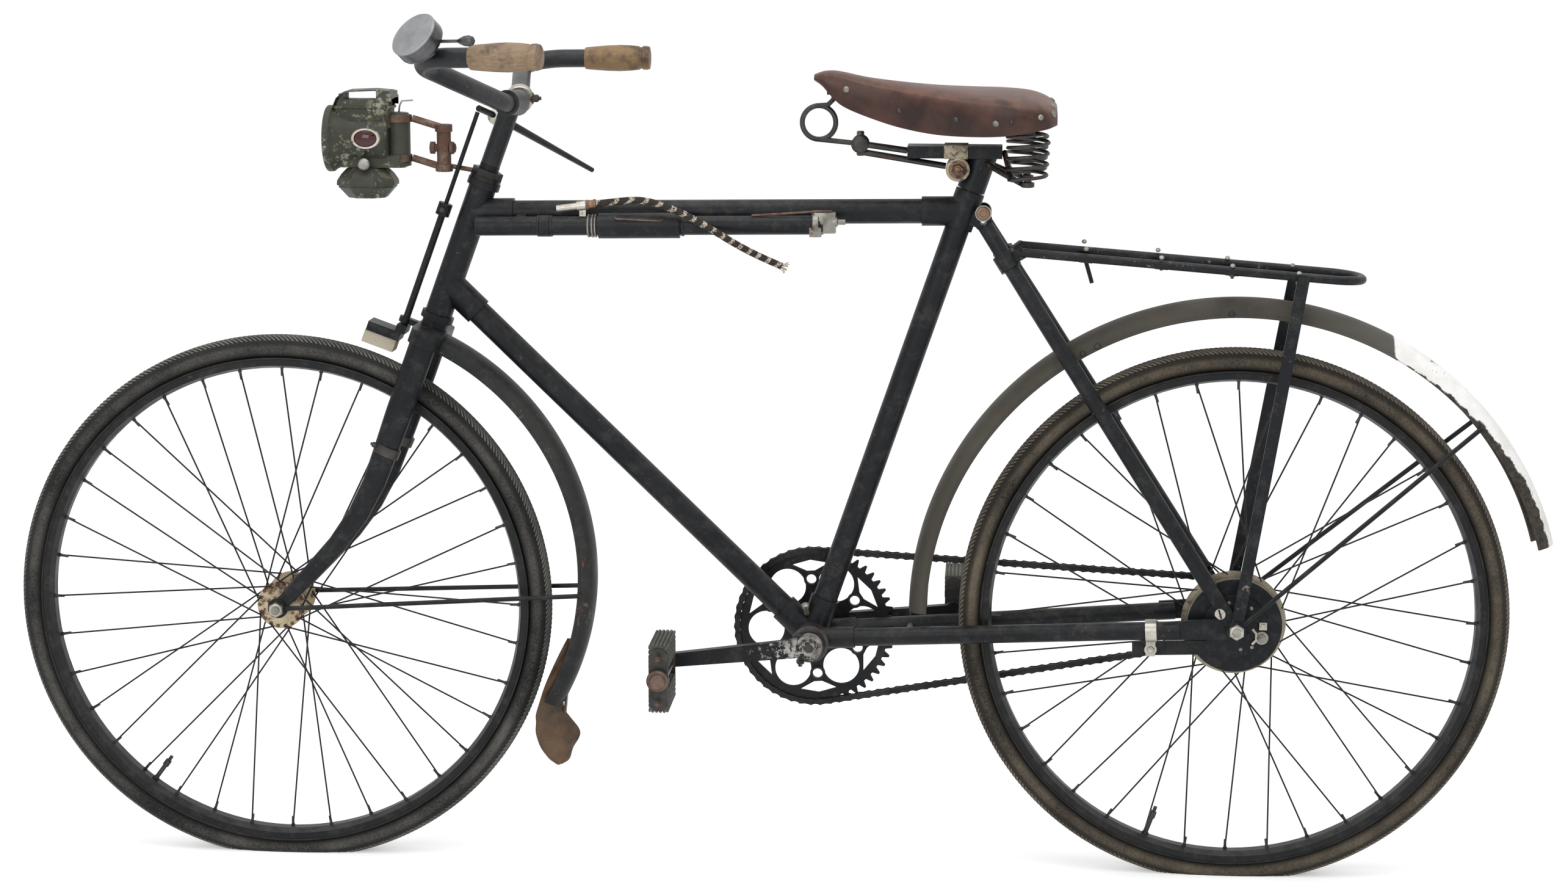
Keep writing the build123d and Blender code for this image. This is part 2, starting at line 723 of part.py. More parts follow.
# Rear brake plate with the arm that holds it to the left chain stay
drum_r = 60.0
drum_wall = 4.0
drum_in = 22.0
drum_out = 42.0
plate_in = 37.0
plate_thick = 4.0
plate_gap = 2.0
plate_r = drum_r - drum_wall - plate_gap
arm_thick = 4.0
arm_y = drum_out + plate_gap + arm_thick / 2
arm_low = 31.0
arm_wide = 18.0
arm_end = at(128, arm_y, -arm_low)
with BuildPart() as brake_plate:
    disc(rear_hub, plate_in, plate_in + plate_thick, plate_r)
    disc(rear_hub, plate_in + plate_thick, arm_y + arm_thick / 2, 40)
    disc(rear_hub, plate_in + plate_thick, dropout_in - face_gap, 14)
    strip(at(10, arm_y, -arm_low + 4), arm_end, Vector(0, 0, 1), arm_wide, arm_thick)
    disc(rear_hub, plate_in - 5, dropout_in + 5, axle_r + seat_gap, Mode.SUBTRACT)
save(brake_plate, "brake_plate")

# Clip that holds the brake arm to the left chain stay
clip_far = 105.0            # ahead of the rear axle
clip_thick = 3.0
a, b = stay_end["left"], stay_start["left"]
clip_mid = a + (b - a) * (clip_far / (b - a).X)
tab_y = arm_y + arm_thick / 2 + face_gap + clip_thick / 2
with BuildPart() as brake_arm_clip:
    bar(toward(clip_mid, a, 7), toward(clip_mid, b, 7), stay_r + clip_thick)
    strip(
        Vector(clip_mid.X, tab_y, clip_mid.Z),
        Vector(clip_mid.X, tab_y, arm_end.Z - arm_wide / 2),
        Vector(1, 0, 0),
        12,
        clip_thick,
    )
    bar(toward(clip_mid, a, 20), toward(clip_mid, b, 20), stay_r + seat_gap, Mode.SUBTRACT)
save(brake_arm_clip, "brake_arm_clip")

# Chain: two bands of side plates, pinned together along the straight runs
ring_pitch_r = pitch / 2 / sin(pi / ring_teeth)
sprocket_pitch_r = pitch / 2 / sin(pi / sprocket_teeth)
link_half = 4.6
link_thick = 1.4
chain_inner = 2.3
pin_r = 2.2
link_line = bracket - rear_hub
link_span = link_line.length
link_tilt = atan2(link_line.Z, link_line.X)
wrap = asin((ring_pitch_r - sprocket_pitch_r) / link_span)


def chain_outline(offset):
    """Closed line around both toothed wheels, offset from the line of pins; origin at the rear axle."""
    big, small = ring_pitch_r + offset, sprocket_pitch_r + offset
    up, low = pi / 2 + wrap, -pi / 2 - wrap
    with BuildLine() as outline:
        Line((link_span + big * cos(up), big * sin(up)), (small * cos(up), small * sin(up)))
        ThreePointArc(
            (small * cos(up), small * sin(up)),
            (-small, 0),
            (small * cos(low), small * sin(low)),
        )
        Line((small * cos(low), small * sin(low)), (link_span + big * cos(low), big * sin(low)))
        ThreePointArc(
            (link_span + big * cos(low), big * sin(low)),
            (link_span + big, 0),
            (link_span + big * cos(up), big * sin(up)),
        )
    make_face(outline.edges())


chain_plane = Plane(
    origin=Vector(rear_hub.X, -chain_line, rear_hub.Z),
    x_dir=(cos(link_tilt), 0, sin(link_tilt)),
    z_dir=(0, -1, 0),
)
run_length = link_span * cos(wrap)
pins_a_run = int(run_length / pitch)
with BuildPart() as chain:
    for level in (chain_inner, -chain_inner - link_thick):
        with BuildSketch(chain_plane.offset(level)):
            chain_outline(link_half)
            with BuildSketch(mode=Mode.PRIVATE) as inner_band:
                chain_outline(-link_half)
            add(inner_band.sketch, mode=Mode.SUBTRACT)
        extrude(amount=link_thick)
    for way in (1, -1):
        angle = way * (pi / 2 + wrap)
        start = Vector(sprocket_pitch_r * cos(angle), sprocket_pitch_r * sin(angle))
        along = Vector(cos(wrap), way * sin(wrap))
        for k in range(4, pins_a_run - 4, 4):
            place = start + along * (k * pitch)
            with BuildSketch(chain_plane.offset(-chain_inner)):
                with Locations((place.X, place.Y)):
                    RegularPolygon(pin_r, 6)
            extrude(amount=2 * chain_inner)
save(chain, "chain")

# Fork crown with the steerer
crown_top = head_low - cup_height - face_gap
crown_half_deep = 20.0
guide_low = crown_low + 11.5
rod_ahead = 37.0            # front brake rod, ahead of the steering axis
rod_r = 4.5
blade_y = 44.0
steerer_top = head_high + 30.0
with BuildPart() as fork_crown:
    bar(steer(0, 0, crown_top - 10), steer(0, 0, steerer_top), steerer_r)
    bar(steer(0, 0, crown_top - 10), steer(0, 0, crown_top), 17)
    with BuildSketch(Plane(origin=steer(0, 0, crown_low), x_dir=(0, 1, 0), z_dir=steer_up)):
        SlotOverall(2 * (blade_y + crown_half_deep), 2 * crown_half_deep)
    extrude(amount=crown_top - 10 - crown_low)
    guide_mid = (guide_low + crown_top - 10) / 2
    strip(
        steer(0, 0, guide_mid),
        steer(rod_ahead, 0, guide_mid),
        Vector(0, 1, 0),
        12,
        crown_top - 10 - guide_low,
    )
    bar(steer(rod_ahead, 0, guide_low), steer(rod_ahead, 0, crown_top - 10), rod_r + 4)
    guide_bore = rod_r + seat_gap
    bar(steer(rod_ahead, 0, guide_low - 9), steer(rod_ahead, 0, crown_top + 9), guide_bore, Mode.SUBTRACT)
save(fork_crown, "fork_crown")

# Fork blades: straight down the steering axis, then bent forward to the axle
bend_at = 150.0
bend_r = 330.0
blade_wide = (26.0, 14.0)   # at the crown and at the end
blade_deep = (34.0, 20.0)
straight_share = 0.25       # full depth up to here
front_end_thick = 5.0
front_end_r = 13.0
blade_sections = 9
front_nut_in = front_end_in + front_end_thick + face_gap + strip_thick + face_gap
with BuildPart() as fork_blades:
    for sign in SIDES.values():
        end_y = front_end_in + front_end_thick / 2
        blade_top = steer(0, sign * blade_y, crown_low - face_gap)
        blade_bend = steer(0, sign * (blade_y + 2), bend_at)
        blade_end = Vector(front_hub.X, sign * end_y, front_hub.Z)
        with BuildLine(mode=Mode.PRIVATE) as path:
            FilletPolyline(blade_top, blade_bend, toward(blade_end, blade_bend, 22), radius=bend_r)
        for step in range(blade_sections):
            share = step / (blade_sections - 1)
            taper = max(0.0, share - straight_share) / (1 - straight_share)
            wide = blade_wide[0] + (blade_wide[1] - blade_wide[0]) * share
            deep = blade_deep[0] + (blade_deep[1] - blade_deep[0]) * taper
            with BuildSketch(
                Plane(origin=path.line @ share, x_dir=(0, 1, 0), z_dir=path.line % share)
            ):
                Ellipse(wide / 2, deep / 2)
        loft(ruled=True)
        disc(front_hub, sign * front_end_in, sign * (front_end_in + front_end_thick), front_end_r)
        tip = toward(blade_end, blade_bend, 34)
        strip(
            blade_end,
            Vector(tip.X, blade_end.Y, tip.Z),
            (tip - blade_end).cross(Vector(0, 1, 0)),
            18,
            front_end_thick,
        )
        disc(front_hub, sign * (front_end_in - 9), sign * (front_end_in + 12), eye_bore, Mode.SUBTRACT)
save(fork_blades, "fork_blades")

# Top cone and lock nut of the headset
cone_low = head_high + cup_height + face_gap
with BuildPart() as headset_nuts:
    bar(steer(0, 0, cone_low), steer(0, 0, cone_low + 5), cup_r - 1)
    with BuildSketch(Plane(origin=steer(0, 0, cone_low + 5), z_dir=steer_up)):
        RegularPolygon(20, 6)
    extrude(amount=9)
    bar(steer(0, 0, cone_low - 1), steer(0, 0, cone_low + 20), steerer_r + seat_gap, Mode.SUBTRACT)
save(headset_nuts, "headset_nuts")

# Stem and handlebar
bar_r = 12.0
stem_r = 12.5
lug_half = 24.0
with BuildPart() as stem:
    bar(steer(0, 0, steerer_top + face_gap), steer(0, 0, bar_at), stem_r)
    bar(bars(0, -lug_half, bar_at), bars(0, lug_half, bar_at), bar_r + 4.5)
    bar(bars(0, -lug_half - 1, bar_at), bars(0, lug_half + 1, bar_at), bar_r + seat_gap, Mode.SUBTRACT)
save(stem, "stem")

grip_end = (-84.0, 272.0, bar_at + 92.0)
bar_corner = (73.0, 252.0, bar_at + 32.0)
bar_middle = (0.0, 34.0, bar_at)
corner_bend_r = 50.0
middle_bend_r = 60.0


def other_side(point):
    """The matching point on the other side of the bicycle."""
    return (point[0], -point[1], point[2])


with BuildPart() as handlebar:
    half = [grip_end, bar_corner, bar_middle]
    route = [bars(*p) for p in half] + [bars(*other_side(p)) for p in reversed(half)]
    bar_line = wire(route, [corner_bend_r, middle_bend_r, middle_bend_r, corner_bend_r], bar_r)
save(handlebar, "handlebar")

grip_length = 84.0
grip_r = 17.5
with BuildPart() as grips:
    for sign in SIDES.values():
        end = bars(grip_end[0], sign * grip_end[1], grip_end[2])
        corner = bars(bar_corner[0], sign * bar_corner[1], bar_corner[2])
        start = toward(end, corner, grip_length)
        third = toward(end, corner, grip_length * 0.5)
        cone(start, third, grip_r - 3, grip_r)
        cone(third, end - (start - end).normalized() * 3, grip_r, grip_r - 3)
        bar(end, toward(end, corner, grip_length + 5), bar_r + seat_gap, Mode.SUBTRACT)
save(grips, "grips")

# Bell on the left bend of the handlebar
bell_share = 0.16           # along the handlebar from its left end
bell_r = 30.0
bell_tall = 26.0
bell_foot = 10.0
bell_foot_r = 11.0
leaf_up = 10.0
leaf_r = 2.0
leaf_end_r = 6.0
bell_at = bar_line @ bell_share
bar_way = bar_line % bell_share
bell_up = Vector(0.52, 0.58, 0.63)
bell_up = (bell_up - bar_way * bell_up.dot(bar_way)).normalized()
bell_back = (Vector(-1, 0, 0) + bell_up * bell_up.X).normalized()
with BuildPart() as bell:
    bell_low = bell_at + bell_up * (bar_r + bell_foot)
    bar(bell_at + bell_up * (bar_r + face_gap), bell_low, bell_foot_r)
    bar(bell_low, bell_low + bell_up * bell_tall, bell_r)
    leaf = bell_low + bell_up * leaf_up
    bar(leaf + bell_back * 20, leaf + bell_back * 55, leaf_r)
    bar(leaf + bell_back * 52, leaf + bell_back * 74, leaf_end_r)
save(bell, "bell")

# Hand lever and rod of the front brake
with BuildPart() as brake_lever:
    way = (bars(*other_side(bar_corner)) - bars(*other_side(bar_middle))).normalized()
    ring_mid = toward(bars(*other_side(bar_middle)), bars(*other_side(bar_corner)), 22)
    bar(ring_mid - way * 7, ring_mid + way * 7, bar_r + 4)
    pivot = bars(22, -34, bar_at - 27)
    strip(ring_mid, pivot, Vector(0, 1, 0), 8, 12)
    bar(ring_mid - way * 20, ring_mid + way * 20, bar_r + seat_gap, Mode.SUBTRACT)
    bar(pivot - Vector(0, 6, 0), pivot + Vector(0, 6, 0), 10)
    cone(pivot, bars(-78, -208, bar_at - 68), 5.5, 3.2)
    bar(pivot, bars(rod_ahead, 6, bar_at - 21), 4)
save(brake_lever, "brake_lever")

collar_at = head_high - 36.0    # top of the collar that joins the two rods
collar_tall = 16.0
collar_r = 9.0
thin_rod_r = 2.8
shoe_at = crown_low - 10.0
shoe_tall = 19.0            # to the top of the boss that takes the rod
with BuildPart() as brake_rod:
    bar(steer(rod_ahead, 0, bar_at - 26.2), steer(rod_ahead, 0, collar_at), thin_rod_r)
    bar(steer(rod_ahead, 0, collar_at), steer(rod_ahead, 0, collar_at - collar_tall), collar_r)
    bar(steer(rod_ahead, 0, collar_at - 1), steer(rod_ahead, 0, shoe_at + shoe_tall + face_gap), rod_r)
save(brake_rod, "brake_rod")

shoe_plane = Plane(origin=steer(rod_ahead + 14, 0, shoe_at), x_dir=steer_ahead, z_dir=(0, -1, 0))
with BuildPart() as brake_shoe:
    with BuildSketch(shoe_plane):
        with Locations((6, 4)):
            Rectangle(44, 12)
        with Locations((-14, 14)):
            Rectangle(13, 10)
    extrude(amount=17, both=True)
save(brake_shoe, "brake_shoe")

with BuildPart() as brake_pad:
    with BuildSketch(shoe_plane):
        with Locations((8, -2 - face_gap - 8)):
            Rectangle(42, 16)
    extrude(amount=15, both=True)
save(brake_pad, "brake_pad")

# Front mudguard, only behind the fork, with a spade shaped flap
front_guard_centre = front_hub + Vector(-63, 0, 42)
front_guard_r = tyre_r - 2.0
front_guard_from = 121.0
front_guard_to = 207.0
with BuildPart() as front_mudguard:
    with BuildSketch(radial_plane(front_guard_centre, front_guard_from)):
        guard_section(front_guard_r)
    revolve(axis=Axis(front_guard_centre, (0, -1, 0)), revolution_arc=front_guard_to - front_guard_from)
    a = radians(front_guard_from)
    way = Vector(sin(a), 0, -cos(a))
    edge = front_guard_centre + Vector(cos(a), 0, sin(a)) * (front_guard_r - guard_sheet)
    behind_crown = -(edge - steer_foot).dot(steer_ahead) - crown_half_deep - 2 * face_gap
    strip(
        edge - way * tab_grip,
        edge + way * (behind_crown / way.dot(steer_ahead)),
        Vector(0, 1, 0),
        tab_wide,
        tab_thick,
    )
save(front_mudguard, "front_mudguard")

flap_angle = radians(front_guard_to)
flap_inset = 4.1
flap_top = front_guard_centre + Vector(cos(flap_angle), 0, sin(flap_angle)) * (front_guard_r - flap_inset)
flap_down = Vector(0.10, 0, -1).normalized()
flap_thick = 4.0
flap_twist = radians(50)    # the old flap has turned on its tongue
tongue_up = 30.0
tongue_half = 5.0
tongue_low = 9.0
flap_outline = ((5, 2), (20, 26), (35, 50), (38, 64), (34, 80), (20, 92), (0, 98))      # half width, drop
flap_across = Vector(sin(flap_twist), cos(flap_twist), 0)
flap_across = (flap_across - flap_down * flap_across.dot(flap_down)).normalized()
with BuildPart() as mud_flap:
    strip(
        flap_top - flap_down * tongue_up,
        flap_top + flap_down * tongue_low,
        Vector(0, 1, 0),
        2 * tongue_half,
        flap_thick,
    )
    with BuildSketch(Plane(origin=flap_top, x_dir=flap_across, z_dir=flap_across.cross(flap_down))):
        Polygon(*flap_outline, *[(-x, y) for x, y in reversed(flap_outline[:-1])], align=None)
    extrude(amount=flap_thick / 2, both=True)
save(mud_flap, "mud_flap")

# Wire stays of the front mudguard
front_stay_angle = 184.0
front_stay_in = front_end_in + front_end_thick + face_gap
with BuildPart() as front_mudguard_stays:
    for sign in SIDES.values():
        a = radians(front_stay_angle)
        edge = front_guard_centre + Vector(cos(a), 0, sin(a)) * (front_guard_r - guard_deep + 6)
        foot = Vector(front_hub.X - 8, sign * (front_stay_in + strip_thick / 2), front_hub.Z)
        tip = Vector(edge.X, sign * (guard_half + guard_stay_r + face_gap), edge.Z)
        bar(foot, tip, guard_stay_r)
        disc(front_hub, sign * front_stay_in, sign * (front_stay_in + strip_thick), axle_r + 6)
        for y_from, y_to, r in (
            (front_stay_in - 9, front_stay_in, axle_r + 14),
            (front_stay_in + strip_thick, front_stay_in + 9, axle_r + 14),
            (front_stay_in - 9, front_stay_in + 9, eye_bore),
        ):
            disc(front_hub, sign * y_from, sign * y_to, r, Mode.SUBTRACT)
save(front_mudguard_stays, "front_mudguard_stays")

with BuildPart() as front_axle:
    disc(front_hub, -front_nut_in - nut_thick - 5, front_nut_in + nut_thick + 5, axle_r)
    for sign in SIDES.values():
        start = Vector(front_hub.X, sign * front_nut_in, front_hub.Z)
        with BuildSketch(Plane(origin=start, z_dir=(0, sign, 0))):
            RegularPolygon(nut_r, 6)
        extrude(amount=nut_thick)
save(front_axle, "front_axle")

# Gas lamp: barrel with front rim, hooded chimney and water tank behind, gas pot below
lamp = head_top + Vector(146.7, 0, 60)
barrel_r = 30.0
jewel_r = 14.0
jewel_proud = 3.0
jewel = lamp + Vector(-4, 0, 2)
barrel_profile = ((-30, 0), (-30, barrel_r), (16, barrel_r), (38, 38), (44, 42), (50, 42), (50, 0))
tank_back = 41.0
tank_r = 15.0
with BuildPart() as lamp_body:
    with BuildSketch(side_plane(lamp)):
        Polygon(*barrel_profile, align=None)
    revolve(axis=Axis(lamp, (1, 0, 0)))
    with BuildSketch(Plane.XY.offset(lamp.Z + barrel_r - 8)):
        with Locations((lamp.X + 6, 0)):
            SlotOverall(74, 46)
    extrude(amount=36, taper=7)
    bar(lamp + Vector(-tank_back, 0, -barrel_r - 4), lamp + Vector(-tank_back, 0, 34), tank_r)
    bar(lamp + Vector(-tank_back, 0, 8), lamp + Vector(-28, 0, 8), 8)
    disc(jewel, -barrel_r - jewel_proud, barrel_r + jewel_proud, jewel_r)
save(lamp_body, "lamp_body")

pot_top = barrel_r + 6.0
with BuildPart() as lamp_pot:
    with BuildSketch(side_plane(lamp - Vector(0, 0, pot_top))):
        Polygon((0, 0), (26, 0), (40, -14), (40, -24), (24, -38), (0, -38), align=None)
    revolve(axis=Axis(lamp, (0, 0, 1)))
    bar(lamp - Vector(0, 0, barrel_r + face_gap), lamp - Vector(0, 0, pot_top + 1), 12)
save(lamp_pot, "lamp_pot")

lamp_clamp = head_top + Vector(48.7, 0, 51)
arm_r = 4.5
bracket_side = -9.0
with BuildPart() as lamp_bracket:
    for level in (26, -24):
        tip = lamp + Vector(-tank_back - tank_r - face_gap - 1.8, 0, level)
        bar(tip, lamp_clamp + Vector(0, 0, level - 3), arm_r)
    bar(lamp_clamp + Vector(0, 0, -30), lamp_clamp + Vector(0, 0, 28), 9)
    bar(lamp_clamp + Vector(0, bracket_side * 0.6, -24), steer(0, bracket_side, cone_low + 9), 3)
    bar(steer(0, 0, cone_low - 5), steer(0, 0, cone_low + 20), cup_r - 1 + seat_gap, Mode.SUBTRACT)
save(lamp_bracket, "lamp_bracket")

# Wheels: the columns are the hub, then flange place, hole circle and spoke lean, left and right each
front_flange_y = 30.0
rear_flange_y = 26.0
flange_edge = 3.0            # flange beyond its spoke holes
front_hole_r = 28.0
drum_hole_r = 63.0
wheels = {
    "front": (front_hub, front_flange_y, front_flange_y, front_hole_r, front_hole_r, 62.0, 62.0),
    "rear": (rear_hub, drum_in, rear_flange_y, drum_hole_r, front_hole_r, 42.0, 62.0),
}
for name, (hub, left_y, right_y, left_hole_r, right_hole_r, left_lean, right_lean) in wheels.items():
    with BuildPart() as tyre:
        with BuildSketch(radial_plane(hub, 0)):
            half = [
                (rim_outer_r + face_gap, 0.66 * tyre_half),
                (tyre_r - 0.52 * tyre_tall, tyre_half),
                (tyre_r - 0.13 * tyre_tall, 0.7 * tyre_half),
                (tyre_r, 0.27 * tyre_half),
            ]
            Polygon(*half, *[(r, -y) for r, y in reversed(half)], align=None)
        revolve(axis=Axis(hub, (0, 1, 0)))
    save(tyre, f"{name}_tyre")

    with BuildPart() as rim:
        with BuildSketch(radial_plane(hub, 0)):
            half = [
                (rim_inner_r, 7),
                (rim_inner_r + 4, rim_half),
                (rim_outer_r, rim_half),
            ]
            Polygon(*half, *[(r, -y) for r, y in reversed(half)], align=None)
        revolve(axis=Axis(hub, (0, 1, 0)))
    save(rim, f"{name}_rim")

    with BuildPart() as spokes:
        for k in range(spoke_count):
            sign = 1 if k % 2 == 0 else -1
            flange_y, hole_r, lean = (
                (left_y, left_hole_r, left_lean) if sign > 0 else (right_y, right_hole_r, right_lean)
            )
            way = 1 if (k // 2) % 2 == 0 else -1
            rim_a = radians(360 / spoke_count * k)
            hub_a = rim_a + radians(way * lean)
            beside = way * (flange_thick / 2 + spoke_r + spoke_lift)
            hole = hub + Vector(cos(hub_a), 0, sin(hub_a)) * hole_r
            inner = Vector(hole.X, sign * (flange_y + beside), hole.Z)
            outer_r = rim_inner_r - face_gap
            outer = Vector(hub.X + outer_r * cos(rim_a), sign * spoke_rim_y, hub.Z + outer_r * sin(rim_a))
            bar(inner, outer, spoke_r)
    save(spokes, f"{name}_spokes")

# Hubs
front_hub_end = front_end_in - 1.0
with BuildPart() as front_hub_shell:
    disc(front_hub, -front_hub_end, front_hub_end, 11)
    disc(front_hub, -front_flange_y, front_flange_y, 17)
    for sign in SIDES.values():
        y = sign * front_flange_y
        disc(front_hub, y - flange_thick / 2, y + flange_thick / 2, front_hole_r + flange_edge)
    disc(front_hub, -60, 60, axle_r + running_gap, Mode.SUBTRACT)
save(front_hub_shell, "front_hub")

sprocket_seat_r = 18.0
with BuildPart() as rear_hub_shell:
    disc(rear_hub, -dropout_in + 1.5, drum_in, sprocket_seat_r)
    disc(
        rear_hub,
        -rear_flange_y - flange_thick / 2,
        -rear_flange_y + flange_thick / 2,
        front_hole_r + flange_edge,
    )
    disc(rear_hub, drum_in - flange_thick / 2, drum_in + flange_thick / 2, drum_hole_r + flange_edge)
    disc(rear_hub, drum_in, drum_out, drum_r)
    disc(rear_hub, drum_in + flange_thick / 2, drum_out + 1, drum_r - drum_wall, Mode.SUBTRACT)
    disc(rear_hub, -70, 70, axle_r + running_gap, Mode.SUBTRACT)
save(rear_hub_shell, "rear_hub")


def toothed(teeth, pitch_r):
    """Outline of a chain wheel with pointed teeth, centred on the sketch."""
    root_r = pitch_r - 4.0
    tip_r = pitch_r + 4.0
    step = 2 * pi / teeth
    points = []
    for k in range(teeth):
        for share, r in ((-0.36, root_r), (-0.1, tip_r), (0.1, tip_r), (0.36, root_r)):
            a = step * (k + share)
            points.append((r * cos(a), r * sin(a)))
    Polygon(*points, align=None)


with BuildPart() as rear_sprocket:
    with BuildSketch(side_plane(Vector(rear_hub.X, -chain_line, rear_hub.Z))):
        toothed(sprocket_teeth, sprocket_pitch_r)
        Circle(sprocket_seat_r + running_gap, mode=Mode.SUBTRACT)
    extrude(amount=tooth_thick / 2, both=True)
save(rear_sprocket, "rear_sprocket")

# Chainring with round windows and bosses
boss_circle = 63.0
window_r = 23.5
boss_hole_r = 6.5
boss_angle = 26.0
small_window = ((74, 4), (86.5, 16), (88.5, 0), (86.5, -16), (74, -4))  # radius, degrees from the boss
boss_count = 6
spider_r = 22.0
with BuildPart() as chainring:
    with BuildSketch(side_plane(Vector(bracket.X, -chain_line, bracket.Z))):
        toothed(ring_teeth, ring_pitch_r)
        with PolarLocations(boss_circle, boss_count, start_angle=boss_angle - 180 / boss_count):
            Circle(window_r, mode=Mode.SUBTRACT)
        with PolarLocations(boss_circle, boss_count, start_angle=boss_angle):
            Circle(boss_hole_r, mode=Mode.SUBTRACT)
        with PolarLocations(0, boss_count, start_angle=boss_angle):
            corners = [(r * cos(radians(a)), r * sin(radians(a))) for r, a in small_window]
            Polygon(*corners, align=None, mode=Mode.SUBTRACT)
        Circle(crank_axle_r + seat_gap, mode=Mode.SUBTRACT)
    extrude(amount=tooth_thick / 2, both=True)
    disc(bracket, -chain_line - tooth_thick / 2, -crank_in + face_gap, spider_r)
    disc(bracket, -chain_line - 20, -chain_line + 20, crank_axle_r + seat_gap, Mode.SUBTRACT)
save(chainring, "chainring")

with BuildPart() as crank_axle:
    crank_out = crank_in + crank_thick
    disc(bracket, -crank_out - 3, crank_out + 3, crank_axle_r)
save(crank_axle, "crank_axle")

# Cranks with the pedal spindles
crank_way = Vector(cos(radians(crank_drop)), 0, -sin(radians(crank_drop)))
pedal_in = crank_out + 5.0
pedal_long = 92.0
pedal_axis = {"left": bracket + crank_way * crank_length, "right": bracket - crank_way * crank_length}
with BuildPart() as cranks:
    for side, sign in SIDES.items():
        eye = pedal_axis[side]
        disc(bracket, sign * crank_in, sign * crank_out, 17)
        disc(eye, sign * crank_in, sign * crank_out, 12)
        for end, tall in ((bracket, 24), (eye, 17)):
            with BuildSketch(
                Plane(
                    origin=Vector(end.X, sign * (crank_in + crank_thick / 2), end.Z),
                    x_dir=(0, 1, 0),
                    z_dir=eye - bracket,
                )
            ):
                Rectangle(crank_thick, tall)
        loft()
        disc(eye, sign * crank_out, sign * (pedal_in + pedal_long - 6), spindle_r)
        disc(bracket, sign * (crank_in - 5), sign * (crank_out + 5), crank_axle_r + seat_gap, Mode.SUBTRACT)
save(cranks, "cranks")

# Pedals, standing on edge
block_wide = 30.0
block_thick = 25.0
block_place = 28.0
cage_thick = 3.0
cage_in = pedal_in
cage_out = pedal_in + pedal_long
for side, sign in SIDES.items():
    eye = pedal_axis[side]
    with BuildPart() as pedal:
        disc(eye, sign * (cage_in), sign * cage_out, 10)
        for y in (cage_in, cage_out - cage_thick):
            with BuildSketch(side_plane(Vector(eye.X, sign * (y + cage_thick / 2), eye.Z))):
                SlotOverall(2 * block_place + 24, 24, rotation=90)
            extrude(amount=cage_thick / 2, both=True)
        disc(eye, sign * cage_out, sign * (cage_out + 8), 14)
        disc(eye, sign * (cage_in - 3), sign * (cage_out - 3), spindle_r + running_gap, Mode.SUBTRACT)
    save(pedal, f"pedal_{side}")

    with BuildPart() as rubbers:
        a = cage_in + cage_thick + face_gap
        b = cage_out - cage_thick - face_gap
        for place in (block_place, -block_place):
            with BuildSketch(side_plane(Vector(eye.X, sign * (a + b) / 2, eye.Z + place))):
                RectangleRounded(block_thick, block_wide, 5)
            extrude(amount=(b - a) / 2, both=True)
    save(rubbers, f"pedal_rubbers_{side}")
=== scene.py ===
"""Looks of the military bicycle: worn enamel, rust, old rubber, leather, wood and bare metal.

The frame of the solids: +X to the front, +Y to the rider's left, +Z up, origin at the rider's seat. Points and
materials are in metres; the sizes given to shapes are in millimetres.
"""

from math import asin, atan2, cos, pi, radians, sin

import bmesh
import bpy
from mathutils import Matrix, Vector


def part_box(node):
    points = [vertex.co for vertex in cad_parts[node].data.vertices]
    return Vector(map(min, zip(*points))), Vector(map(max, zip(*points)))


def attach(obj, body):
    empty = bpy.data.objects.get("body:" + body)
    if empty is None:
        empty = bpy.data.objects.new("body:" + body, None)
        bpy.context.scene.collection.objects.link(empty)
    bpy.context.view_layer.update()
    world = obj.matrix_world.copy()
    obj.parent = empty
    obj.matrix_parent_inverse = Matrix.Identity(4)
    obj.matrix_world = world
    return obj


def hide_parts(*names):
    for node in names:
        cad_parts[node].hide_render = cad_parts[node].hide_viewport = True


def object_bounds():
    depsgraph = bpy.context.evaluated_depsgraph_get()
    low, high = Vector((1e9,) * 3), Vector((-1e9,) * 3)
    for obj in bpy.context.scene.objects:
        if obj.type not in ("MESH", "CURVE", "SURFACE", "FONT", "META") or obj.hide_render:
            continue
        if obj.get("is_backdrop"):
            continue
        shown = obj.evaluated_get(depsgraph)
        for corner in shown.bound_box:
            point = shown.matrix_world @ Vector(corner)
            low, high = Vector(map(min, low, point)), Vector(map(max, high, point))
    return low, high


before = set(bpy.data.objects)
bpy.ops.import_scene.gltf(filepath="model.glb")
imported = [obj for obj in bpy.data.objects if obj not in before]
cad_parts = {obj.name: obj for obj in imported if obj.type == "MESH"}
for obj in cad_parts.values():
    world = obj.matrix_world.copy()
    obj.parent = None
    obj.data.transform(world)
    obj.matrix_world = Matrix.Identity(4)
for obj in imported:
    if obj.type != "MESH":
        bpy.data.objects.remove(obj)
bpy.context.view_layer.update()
MM = 0.001
SIDES = (1, -1)
TIP_R = 1e-5                # of a turned form that ends on its axis
AHEAD, LEFT, UP = Vector((1, 0, 0)), Vector((0, 1, 0)), Vector((0, 0, 1))


def mm(x, y, z):
    """A vector given in millimetres."""
    return Vector((x, y, z)) * MM


def corners(node):
    """Low and high corner of a node's box."""
    low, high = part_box(node)
    return Vector(low), Vector(high)


def middle(node):
    """Centre of a node's box."""
    low, high = corners(node)
    return (low + high) / 2


